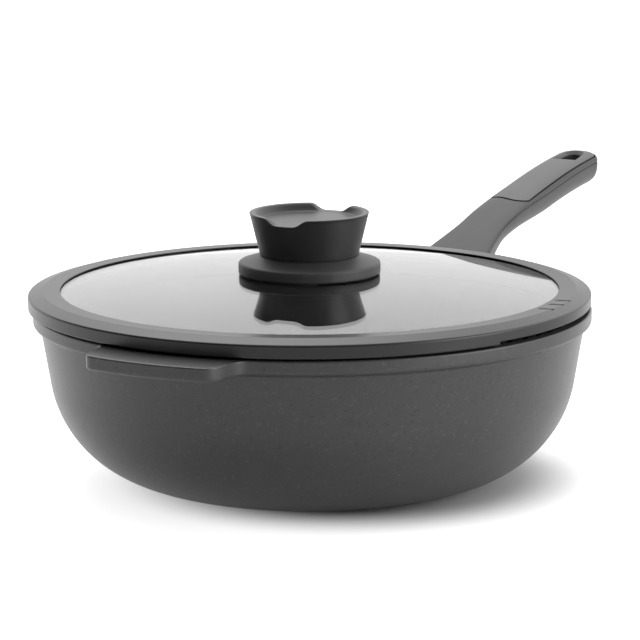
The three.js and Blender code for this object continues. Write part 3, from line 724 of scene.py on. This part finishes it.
def pad_solid(grow, depth, lift, ease):
    """The pad's outline, grown sideways, from a depth below the cap's top to a height above it.

    Across the pad y = half * sin; its upper face follows the cap and rounds off by ease at its edges.
    It grows more in front, where the groove is wider. The front edge swings by a cubic of v, which
    runs from -1 to 1 across the pad: PAD_SWING (1 - v^2) (v + 0.2).
    """
    front = PAD_FRONT - FRONT_GROWTH * grow
    back = HANDLE_END - PAD_INSET + grow
    nose = front + PAD_CORNER * (1 - np.cos(np.linspace(0.05, np.pi / 2, 16, endpoint=False)))
    x = np.concatenate([nose, stations(front + PAD_CORNER, back - TIP_FLAT, 60, 22)])[:, None]
    corner = np.sqrt(1 - (1 - np.clip((x - front) / PAD_CORNER, 0, 1)) ** 2)
    wide = section(np.minimum(x, TIP_X))[0] - PAD_INSET + grow
    half = wide * corner * tip_share(x, TIP_ROUND, back - TIP_X)
    y = half * np.sin(np.linspace(-np.pi / 2, np.pi / 2, 41))
    v = y / wide
    swung = x + PAD_SWING * (1 - v**2) * (v + 0.2) * (1 - smooth(x, front, front + SWING_RUN))
    full, seam, rise, _ = section(swung)
    top = seam + rise * (1 - np.clip(np.abs(y) / full, 0, 1) ** SQUARE) ** (1 / SQUARE)
    near = np.minimum(np.minimum(half - np.abs(y), x - front), back - x)
    drop = ease * (1 - np.sqrt(1 - (1 - np.clip(near / max(ease, 1e-6), 0, 1)) ** 2))
    upper = np.stack([swung, y, top + lift - drop], axis=-1)
    lower = np.stack([swung, y, top - depth], axis=-1)
    return capped(np.concatenate([upper, lower[:, ::-1]], axis=1))


def lug_solid(grow):
    """Tapered arm cast on the wall: a nearly square superellipse section carried outward."""
    end = BAND + LUG_REACH
    x = np.linspace(BAND - LUG_ROOT, end + grow, 24)[:, None]
    t = (x - BAND) / LUG_REACH
    low = (1 - t) * (top_line(BAND) - along(BAND, *DEPTHS)) + LUG_COVER - grow
    low = low + t * (top_line(end) - along(end, *DEPTHS))
    high = (1 - t) * top_line(BAND) + t * top_line(end) - LUG_COVER + grow
    angle = np.linspace(0, 2 * np.pi, 48, endpoint=False)
    y = (LUG_HALF + grow) * squarer(np.cos(angle), LUG_SQUARE)
    z = (high + low) / 2 + (high - low) / 2 * squarer(np.sin(angle), LUG_SQUARE)
    return capped(np.stack([x + 0 * z, y + 0 * z, z], axis=-1))


BOLT_X = BAND + 21
AT_BOLT = np.array([BOLT_X, 0, 0])
lug_points = lug_solid(0)
nearest = np.abs(lug_points[1:-1, 0, 0] - BOLT_X).argmin()
LUG_UNDER = lug_points[1 + nearest, :, 2].min()
CLAMP = LUG_UNDER - GAP - 1.6


def post(radius, low, high):
    """A plain round cutter on the axis of the bolt."""
    corners = [(0, low, 0), (radius, low, 0), (radius, high, 0), (0, high, 0)]
    return turned(rounded(corners), FULL_TURN[::4]) + AT_BOLT


print("underside of the lug at the bolt:", round(float(LUG_UNDER), 2), "mm")

# %% Handle pieces
PAD_GROOVE = 0.9
HEAD_WAY = 5.9
SHANK_WAY = 3.3

hole = mesh_of("hole", hanging_hole())
recess = mesh_of("recess", pad_solid(PAD_GROOVE, depth=PAD_THICK + GAP, lift=5.7, ease=0))
socket = mesh_of("socket", lug_solid(GAP))
counterbore = mesh_of("counterbore", post(HEAD_WAY, CLAMP - 40, CLAMP))
shank_way = mesh_of("shank_way", post(SHANK_WAY, CLAMP - 2, CLAMP + 12))

core = mesh_of("core", handle_half(-1))
core_tools = [socket, counterbore, shank_way, hole]
settle("handle_body", core, handle_resin, "pan", ["handle_core"], core_tools)
cap = mesh_of("cap", handle_half(1))
settle("handle_top", cap, handle_resin, "pan", ["handle_cap"], [recess, hole])
pad = mesh_of("pad", pad_solid(0, depth=PAD_THICK, lift=0, ease=0.45))
settle("soft_pad", pad, pad_rubber, "pan", ["grip_pad"], [hole])
lug = mesh_of("lug", lug_points)
settle("cast_lug", lug, coating, "pan", [], [shank_way])

# %% [markdown]
# ## Bolt and washer of the handle
# One bolt from below holds the handle on its lug. Its head has a hexagon socket, whose wall is a
# radius that changes with the angle, and its shank has a thread, a radius that changes with both
# height and angle. Both are still functions on a turned grid, so no modelling by hand is needed.

# %% Threaded fasteners
def hexagon(across, angles):
    """Radius of a hexagon by angle: half its width over the cosine of the angle from a flat."""
    return across / 2 / np.cos((angles + np.pi / 6) % (np.pi / 3) - np.pi / 6)


def screw_points(radius, tip, face, head_low, pitch, key_depth, head_radius=5, key=4):
    """Screw with its head below: hexagon socket, rounded head, then a thread up to the tip.

    Thread radius = radius - depth * |2 frac(z / pitch - a / 2 pi) - 1|, fading out at both ends.
    """
    angles = FULL_TURN[::4]
    socket_rows = np.array([[0, head_low + key_depth], [1, head_low + key_depth], [1, head_low]])
    socket_r = socket_rows[:, :1] * hexagon(key, angles)
    socket_z = socket_rows[:, 1:] + 0 * angles
    head = rounded([
        (key * 0.62, head_low, 0),
        (head_radius, head_low, 0.45 * (face - head_low)),
        (head_radius, face, 0.2),
        (radius, face, 0),
    ])
    z = np.linspace(face, tip, int(8 * (tip - face) / pitch))[:, None]
    wave = np.abs(2 * ((z / pitch - angles / (2 * np.pi)) % 1) - 1)
    fade = smooth(z, face, face + pitch) * smooth(-z, -tip, -tip + pitch)
    thread_r = radius - 0.5 * pitch * wave * fade - 0.3 * smooth(z, tip - pitch, tip)
    r = np.vstack([socket_r, head[:, :1] + 0 * angles, thread_r, 0 * angles[None]])
    z = np.vstack([socket_z, head[:, 1:] + 0 * angles, z + 0 * angles, tip + 0 * angles[None]])
    return spun(r, angles, z)


def washer_points(inner, outer, low, high, ease):
    """Flat ring with eased edges."""
    corners = [(inner, low, ease), (outer, low, ease), (outer, high, ease), (inner, high, ease)]
    return turned(rounded(corners, 4), FULL_TURN[::3])


bolt_steel = ringed("bright_bolt_steel", grey(0.45), grey(0.62), 0.22, 5000, (BOLT_X * MM, 0))
WASHER_TOP = CLAMP - GAP
WASHER_THICK = 0.7
BOLT_FACE = WASHER_TOP - WASHER_THICK - GAP
bolt_points = screw_points(
    radius=3,
    tip=LUG_UNDER + 6.5,
    face=BOLT_FACE,
    head_low=BOLT_FACE - 2.2,
    pitch=1.0,
    key_depth=1.6,
)
bolt = mesh_of("bolt", bolt_points + AT_BOLT)
settle("bolt", bolt, bolt_steel, "pan", ["handle_bolt"])
ring = washer_points(SHANK_WAY, 5.6, WASHER_TOP - WASHER_THICK, WASHER_TOP, 0.15)
washer = mesh_of("washer", ring + AT_BOLT, True)
settle("washer", washer, bolt_steel, "pan", ["bolt_washer"])

# %% [markdown]
# ## The lid's silicone rim
# The rim seals the lid, holds the glass in a groove and hangs a skirt inside the mouth. On one side
# its seat is cut away into a long slot, with holes through the skirt, to strain water off without
# lifting the lid, and three short grooves on top show which side that is. Slot and grooves follow
# the profile round only part of the way, so each profile point has a share in them.

# %% Sizes of the lid
LID = BAND + 1.1
OPENING = LID - 17
GLASS_EDGE = OPENING + 6
RIM_TOP = 10.3
EDGE_TOP = RIM_TOP - 0.9
DOME_RISE = 8.7
DOME = (OPENING**2 + DOME_RISE**2) / (2 * DOME_RISE)
DOME_TOP = EDGE_TOP + DOME_RISE
LID_TURN = math.radians(4)
LID_SHIFT = 0.65 * 2.2
SET_TOWARDS = math.radians(120)


def dome(r):
    """Height of the top of the glass above the pan's rim: a sphere through the opening's edge."""
    return DOME_TOP - DOME + np.sqrt(DOME**2 - r**2)


def on_pan(points):
    """Moves points of the lid to where it was set down: turned, off centre, on the pan's rim."""
    c, s = math.cos(LID_TURN), math.sin(LID_TURN)
    turn = np.array([[c, s, 0], [-s, c, 0], [0, 0, 1]])
    return points @ turn + spun(LID_SHIFT, SET_TOWARDS, HEIGHT)


def lid_mesh(name, points, loop=True):
    """A mesh of points of the lid, moved to where it was set down."""
    return mesh_of(name, on_pan(points), loop)


LID_AXIS = on_pan(np.zeros(3))
print("sphere of the glass:", round(DOME), "mm; lid axis at", np.round(LID_AXIS, 2))

# %% Silicone rim
SLOT_MIDDLE = -np.pi / 2
SLOT_HALF = math.radians(24.5)
SLOT_ROUND = math.radians(0.12)
SLOT_LIFT = 1.9
GROOVES = np.radians([-82.9, -87.7, -93.2])
GROOVE_START = 134.3
GROOVE_MIDDLE = 137.5
GROOVE_SLANT = math.radians(0.12)
GROOVE_WIDE = math.radians(0.27)
GROOVE_DEEP = 1.2
SKIRT = MOUTH - 2.2
SKIRT_LOW = -7.5
SKIRT_THICK = 3.4
GLASS_THICK = 4


def rim_points():
    """Rim: height z + lift * slot(angle) - dip * groove(angle) for each profile point.

    The slot is 1 over its length with quickly rounded ends. Each groove is a narrow bell curve whose
    middle moves round by a slant for every millimetre outward. The columns of the profile are radius,
    height, lift, dip and rounding. Extra columns of points stand at the slot's ends and the grooves.
    """
    fine = np.radians(np.linspace(-0.25, 0.25, 15))
    ends = SLOT_MIDDLE + np.array([[-SLOT_HALF], [SLOT_HALF]]) + fine
    marks = GROOVES[:, None] + np.radians(np.linspace(-1.2, 1.2, 41))
    angles = np.unique(np.concatenate([FULL_TURN - 2 * np.pi, ends.ravel(), marks.ravel()]))
    profile = rounded([
        (OPENING, RIM_TOP, 0, 0, 0.4),
        (GROOVE_START - 0.5, RIM_TOP, 0, 0, 0),
        (GROOVE_START, RIM_TOP, 0, 1, 0),
        (LID - 8, RIM_TOP, 0, 1, 0.3),
        (LID - 7.1, RIM_TOP - 0.26, 0, 1, 0),
        (LID - 6.6, RIM_TOP - 0.4, 0, 0, 0),
        (LID, RIM_TOP - 2.3, 0, 0, 0.9),
        (LID, GAP + 1.1, 0.75, 0, 0.5),
        (WALL_TOP, GAP, 1, 0, 0.3),
        (SKIRT, GAP, 1, 0, 0.3),
        (SKIRT - 0.8, SKIRT_LOW, 0, 0, 0.8),
        (SKIRT - SKIRT_THICK, SKIRT_LOW, 0, 0, 0.8),
        (SKIRT - SKIRT_THICK, GAP, 0, 0, 0.8),
        (OPENING + GAP, dome(OPENING) - 6.5, 0, 0, 0.6),
        (OPENING + GAP, dome(OPENING) - GLASS_THICK - GAP, 0, 0, 0.3),
        (GLASS_EDGE + GAP, dome(GLASS_EDGE) - GLASS_THICK - GAP, 0, 0, 0.2),
        (GLASS_EDGE + GAP, dome(GLASS_EDGE) + GAP, 0, 0, 0.2),
        (OPENING, dome(OPENING) + GAP, 0, 0, 0.1),
    ])
    slot = smooth(SLOT_HALF - np.abs(angles - SLOT_MIDDLE), -SLOT_ROUND, SLOT_ROUND)
    r, z, lift, dip = (profile[:, k : k + 1] for k in range(4))
    off = angles - GROOVES[:, None, None] - GROOVE_SLANT * (r - GROOVE_MIDDLE)
    groove = np.exp(-((off / GROOVE_WIDE) ** 2)).sum(axis=0)
    return spun(r, angles, z + SLOT_LIFT * lift * slot - GROOVE_DEEP * dip * groove)


def strain_hole(middle):
    """A cutter through the skirt: a block with four corners round the axis at two heights."""
    inside, outside = SKIRT - SKIRT_THICK - 1, SKIRT + 1
    half_width, low, high = 4.5, -5.5, 1.2
    r = np.array([inside, outside, outside, inside])
    a = middle + np.array([-1, -1, 1, 1]) * half_width / SKIRT
    return capped(spun(r, a, np.array([[low], [high]])))


STRAIN_HOLES = 8
middles = np.linspace(SLOT_MIDDLE - SLOT_HALF, SLOT_MIDDLE + SLOT_HALF, STRAIN_HOLES + 2)[1:-1]
rim_tools = [lid_mesh("strain_hole", strain_hole(middle), loop=False) for middle in middles]
rim = lid_mesh("rim", rim_points())
settle("silicone_rim", rim, rim_silicone, "lid", ["lid_rim"], rim_tools)

# %% [markdown]
# ## The glass
# A shallow dome, pressed while soft: two spheres one above the other, a hole for the screw in the
# middle, and a ground outer edge. It has to be a closed solid with real thickness, because light
# bends as it goes in and again as it comes out.

# %% Glass dome
GLASS_BORE = 4.2
GROUND = 0.4
BORE_GROUND = 0.3


def glass_points():
    """Closed profile of the glass: out along the top, round the edge and back along the underside."""
    r = np.linspace(GLASS_BORE + GROUND, GLASS_EDGE - GROUND, 60)
    top = np.column_stack([r, dome(r), 0 * r])
    under = np.column_stack([r, dome(r) - GLASS_THICK, 0 * r])[::-1]
    edge_top, bore_top = dome(GLASS_EDGE), dome(GLASS_BORE)
    edge = [(GLASS_EDGE, edge_top - GROUND, 0), (GLASS_EDGE, edge_top - GLASS_THICK + GROUND, 0)]
    bore_low = bore_top - GLASS_THICK + BORE_GROUND
    bore = [(GLASS_BORE, bore_low, 0), (GLASS_BORE, bore_top - BORE_GROUND, 0)]
    return turned(rounded(np.vstack([top, edge, under, bore])), FULL_TURN)


dome_mesh = lid_mesh("glass_dome", glass_points())
settle("glass_dome", dome_mesh, glass, "lid", ["lid_glass"])

# %% [markdown]
# ## The knob
# A coned flange sits on a gasket on the glass, and a flared knob stands in it. The top of the knob
# is a dish, with a rounded channel cut across its rim on two sides so that a spoon can rest there.
# The top lies below its edge by the larger of two depths, dish and channel. A soft maximum of the
# two rounds the edge where they meet, as a mould does.

# %% Flange and gasket
FLANGE = 37.4
FLANGE_LOW = float(dome(FLANGE)) + 0.55
FLANGE_EDGE = FLANGE_LOW + 5.8
FLANGE_TOP = FLANGE_EDGE + 3.65
KNOB_FOOT = FLANGE_TOP + GAP
SPIGOT_LOW = KNOB_FOOT - 5.8
SOCKET_FLOOR = SPIGOT_LOW - GAP
SEAL_TOP = SOCKET_FLOOR - 1.6
HOLLOW = 33.8
ROOT = 26
SPIGOT = 16
SCREW_WAY = 2.8


def flange_points():
    """Flange: coned top, upright edge, hollow for the gasket below, socket for the knob above."""
    profile = rounded([
        (SCREW_WAY, SEAL_TOP, 0.1),
        (HOLLOW, SEAL_TOP, 0.2),
        (HOLLOW, FLANGE_LOW, 0.3),
        (FLANGE, FLANGE_LOW, 0.9),
        (FLANGE, FLANGE_EDGE, 1.3),
        (ROOT + 0.9, FLANGE_TOP - 0.5, 0.6),
        (ROOT, FLANGE_TOP, 0.3),
        (SPIGOT + GAP, FLANGE_TOP, 0.3),
        (SPIGOT + GAP, SOCKET_FLOOR, 0.2),
        (SCREW_WAY, SOCKET_FLOOR, 0.1),
    ])
    return turned(profile, FULL_TURN)


def gasket_points():
    """Gasket whose underside follows the dome."""
    r = np.linspace(GLASS_BORE, HOLLOW - GAP, 12)
    under = np.column_stack([r, dome(r) + GAP, 0 * r])
    top = [(HOLLOW - GAP, SEAL_TOP - GAP, 0.2), (GLASS_BORE, SEAL_TOP - GAP, 0)]
    return turned(rounded(np.vstack([under, top])), FULL_TURN)


flange = lid_mesh("flange", flange_points())
settle("knob_flange", flange, flange_resin, "lid", ["knob_base"])
gasket = lid_mesh("gasket", gasket_points())
settle("gasket", gasket, seal_rubber, "lid", ["knob_seal"])

# %% Knob
CROWN = 31.5
KNOB_TOP = KNOB_FOOT + 22.4
NOTCH = 3.7
NOTCH_FLANK = (4, 9, 9.5, 13.5)
DISH = 4
DISH_OUT, DISH_IN = CROWN - 2.2, CROWN - 6.8
CREASE = 0.12
EDGE_ROUND = 0.7
BORE, BORE_DEEP = 4.8, 12.1


def channel(y):
    """Depth of the channel across the crown: full in the middle, an S curve up to its edges."""
    across, depth = bezier(NOTCH_FLANK, (NOTCH, NOTCH, 0, 0), 120)
    return np.interp(np.abs(y), across, depth)


def crown(r, angle):
    """Height of the knob's top, with a the depth of the dish and b that of the channel.

    The soft maximum of the two is k log(e^(a/k) + e^(b/k)) - k log 2, which is 0 where both are.
    """
    dish = DISH * smooth(-r, -DISH_OUT, -DISH_IN)
    groove = channel(r * np.sin(angle))
    both = np.log(np.exp(dish / CREASE) + np.exp(groove / CREASE)) - math.log(2)
    return KNOB_TOP - CREASE * both


def cone(z):
    """Radius of the flared side at a height."""
    return ROOT + (CROWN - ROOT) * (z - KNOB_FOOT) / (KNOB_TOP - KNOB_FOOT)


def knob_points():
    """Knob: spigot and bore, flared side up to the edge of the crown, rounded edge, then the top."""
    angles = np.linspace(0, 2 * np.pi, 300, endpoint=False)
    below = rounded([
        (0, SPIGOT_LOW + BORE_DEEP, 0),
        (BORE, SPIGOT_LOW + BORE_DEEP, 0),
        (BORE, SPIGOT_LOW, 0.2),
        (SPIGOT, SPIGOT_LOW, 0.4),
        (SPIGOT, KNOB_FOOT, 0),
        (ROOT, KNOB_FOOT, 0),
    ])
    edge = crown(CROWN - EDGE_ROUND, angles)
    side_z = KNOB_FOOT + (edge - EDGE_ROUND - KNOB_FOOT) * np.linspace(0.015, 1, 16)[:, None]
    t = np.linspace(0, 1, 7)[1:, None]
    turn_r = cone(edge) - EDGE_ROUND * t**2
    turn_z = edge - EDGE_ROUND * (1 - t) ** 2
    top_r = (cone(edge) - EDGE_ROUND) * np.linspace(1, 0, 70)[1:, None]
    r = np.vstack([below[:, :1] + 0 * angles, cone(side_z), turn_r, top_r])
    z = np.vstack([below[:, 1:] + 0 * angles, side_z, turn_z, crown(top_r, angles)])
    return spun(r, angles, z)


knob = lid_mesh("knob", knob_points(), loop=False)
settle("knob", knob, knob_resin, "lid", ["knob_body"])

# %% [markdown]
# ## What holds the knob
# Under the glass, a screw goes up through a steel washer and a rubber one into a brass insert in the
# knob. They are small, but the glass shows them from below.

# %% Screw, washers and insert
AXIS = LID_AXIS[:2] * MM
DARK_BRASS, PALE_BRASS = (0.52, 0.36, 0.13, 1), (0.66, 0.49, 0.21, 1)
knob_steel = ringed("bright_knob_steel", grey(0.45), grey(0.62), 0.22, 5000, AXIS)
brass = ringed("turned_brass", DARK_BRASS, PALE_BRASS, 0.25, 5000, AXIS)
RUBBER = 14
RUBBER_TOP = dome(RUBBER) - GLASS_THICK - GAP
RUBBER_LOW = RUBBER_TOP - 1.2
STEEL_TOP = RUBBER_LOW - GAP
STEEL_LOW = STEEL_TOP - 1
SCREW_FACE = STEEL_LOW - GAP
INSERT_LOW = SPIGOT_LOW + GAP
INSERT_TOP = INSERT_LOW + 11.5

soft_ring = lid_mesh("soft_ring", washer_points(SCREW_WAY, RUBBER, RUBBER_LOW, RUBBER_TOP, 0.3))
settle("rubber_washer", soft_ring, seal_rubber, "lid", ["under_seal"])
steel_ring = lid_mesh("steel_ring", washer_points(SCREW_WAY, 13, STEEL_LOW, STEEL_TOP, 0.25))
settle("steel_washer", steel_ring, knob_steel, "lid", ["under_washer"])
tube = lid_mesh("tube", washer_points(SCREW_WAY, BORE - GAP, INSERT_LOW, INSERT_TOP, 0.25))
settle("insert", tube, brass, "lid", ["knob_insert"])
knob_screw_points = screw_points(
    radius=2.5,
    tip=INSERT_TOP - 0.8,
    face=SCREW_FACE,
    head_low=SCREW_FACE - 3,
    pitch=0.8,
    key_depth=1.8,
)
screw = lid_mesh("screw", knob_screw_points, loop=False)
settle("screw", screw, knob_steel, "lid", ["knob_screw"])

# %% [markdown]
# ## Studio
# A white room behind and at the right of the pan, and a dark room on the camera's side, as in a
# product studio. The dark side is what makes the front of the knob and of the bowl deep, while their
# edges turn towards the white. The world works out its brightness from the direction: white walls
# that get brighter upward, a weaker wall at the right, and a ceiling. The camera sees plain white.

# %% World
AHEAD = (TARGET - EYE).to_2d().normalized().to_3d()
RIGHT = Vector((AHEAD.y, -AHEAD.x, 0))

room = Finish(bpy.data.worlds.new("studio"))
scene.world = room.owner
way = room.node("ShaderNodeTexCoord", output="Generated")


def facing(direction):
    """How far a direction of the world agrees with another one, from -1 to 1."""
    return room.measured("DOT_PRODUCT", way, direction)


def towards(azimuth, elevation=0):
    """A direction by its angle to the right of straight ahead, and above the floor, in degrees."""
    turn, lift = math.radians(azimuth), math.radians(elevation)
    level = AHEAD * math.cos(turn) + RIGHT * math.sin(turn)
    return level * math.cos(lift) + Vector((0, 0, math.sin(lift)))


DARK_SIDE = 0.016
WALL_LEVEL, WALL_RISE = 1.04, 0.64
RIGHT_LEVEL = 0.32
CEILING_LEVEL = 0.72

up = facing((0, 0, 1))
walls = room.fade(facing(towards(22)), 0.0, 0.5)
right_wall = room.fade(facing(towards(105)), 0.55, 1.0)
ceiling = room.fade(up, 0.5, 1.0)
light = DARK_SIDE + walls * (WALL_LEVEL + WALL_RISE * up)
light = light + RIGHT_LEVEL * right_wall + CEILING_LEVEL * ceiling * (1 - walls)
seen = room.is_ray("Camera")
brightness = light * (1 - seen) + seen
shine = room.node("ShaderNodeBackground", sockets={"Color": grey(1), "Strength": brightness})
room.node("ShaderNodeOutputWorld", sockets={"Surface": shine})
print("world: white behind and at the right, dark towards the camera")

# %% [markdown]
# ## Floor
# The photograph has a white ground with a soft shade under the pan. A sheet lit only by the room
# would come out grey, so it also glows. The glow fades out under the pan and a little to its right,
# which paints a soft shadow there over the real one. Surfaces that mirror the floor see a weaker
# painted glow, less on the camera's side. From below the sheet is clear, so that the pan can be
# looked at from there.

# %% Floor
FLOOR_HALF = 9.0
FLOOR_DROP = 0.0002
floor_mesh = bpy.data.meshes.new("floor")
floor_corners = FLOOR_HALF * np.array([(-1, -1, 0), (1, -1, 0), (1, 1, 0), (-1, 1, 0)])
floor_corners = floor_corners - (0, 0, FLOOR_DROP)
floor_mesh.from_pydata(floor_corners.tolist(), [], [(0, 1, 2, 3)])
floor = bpy.data.objects.new("floor", floor_mesh)
scene.collection.objects.link(floor)

paper = Finish(bpy.data.materials.new("studio_paper"))
fibre = paper.mixed(grey(0.74), grey(0.76), paper.noise(60))
matte = paper.node("ShaderNodeBsdfDiffuse", sockets={"Color": fibre})
SEEN_GLOW = 0.8
NEAR_GLOW, MORE_BEHIND = 0.15, 0.5
# Painted shadow: the glow fades out round a point a little right of the pan's axis, which darkens the
# floor there.
SHADE_SHIFT = 0.027
SHADE_IN, SHADE_OUT = 0.08, 0.14
from_shade = paper.measured("DISTANCE", paper.place(), RIGHT * SHADE_SHIFT)
behind = paper.measured("DOT_PRODUCT", paper.place(), towards(-40))
# Painted glow that only mirrored rays see: stronger behind the pan, weaker on the camera's side.
mirrored = NEAR_GLOW + MORE_BEHIND * paper.fade(behind, -0.3, 0.25)
white = SEEN_GLOW * paper.is_ray("Camera")
white = white + mirrored * (paper.is_ray("Glossy") + paper.is_ray("Transmission"))
# This fade of the glow paints the shadow under the pan.
strength = white * paper.fade(from_shade, SHADE_IN, SHADE_OUT)
glow = paper.node("ShaderNodeEmission", sockets={"Strength": strength})
lit_sheet = paper.node("ShaderNodeAddShader", sockets={0: matte, 1: glow})
from_below = paper.node("ShaderNodeNewGeometry", output="Backfacing")
nothing = paper.node("ShaderNodeBsdfTransparent")
sheet = paper.node("ShaderNodeMixShader", sockets={0: from_below, 1: lit_sheet, 2: nothing})
paper.node("ShaderNodeOutputMaterial", sockets={"Surface": sheet})
floor_mesh.materials.append(paper.owner)
print("floor is", 2 * FLOOR_HALF, "metres wide")

# %% [markdown]
# ## Lamps
# Two round soft boxes add to the room: a large one high behind the pan, and one low at the right.
# Their cloth is brightest in the middle and fades to nothing at the edge, so that their mirror
# images in the glass have no hard outline.

# %% Lamps
def soft_box(name, direction, distance, size, power):
    """A round area lamp at a distance in metres, turned to the middle of the pan.

    Brightness fades from 1 at an eighth of the size from its centre to 0 at its edge.
    """
    place = direction * distance
    lamp = bpy.data.lights.new(name, "AREA")
    lamp.shape = "DISK"
    lamp.size = size
    lamp.energy = power
    cloth = Finish(lamp)
    spot = cloth.node("ShaderNodeNewGeometry", output="Position")
    strength = cloth.fade(cloth.measured("DISTANCE", spot, place), size / 2, size / 8)
    lit = cloth.node("ShaderNodeEmission", sockets={"Strength": strength})
    cloth.node("ShaderNodeOutputLight", sockets={"Surface": lit})
    holder = bpy.data.objects.new(name, lamp)
    holder.location = place
    holder.rotation_euler = (TARGET - place).to_track_quat("-Z", "Y").to_euler()
    scene.collection.objects.link(holder)


soft_box("key", towards(-20, 60), distance=2.2, size=2.7, power=33)
soft_box("fill", towards(116, 12), distance=1.6, size=1.9, power=35)
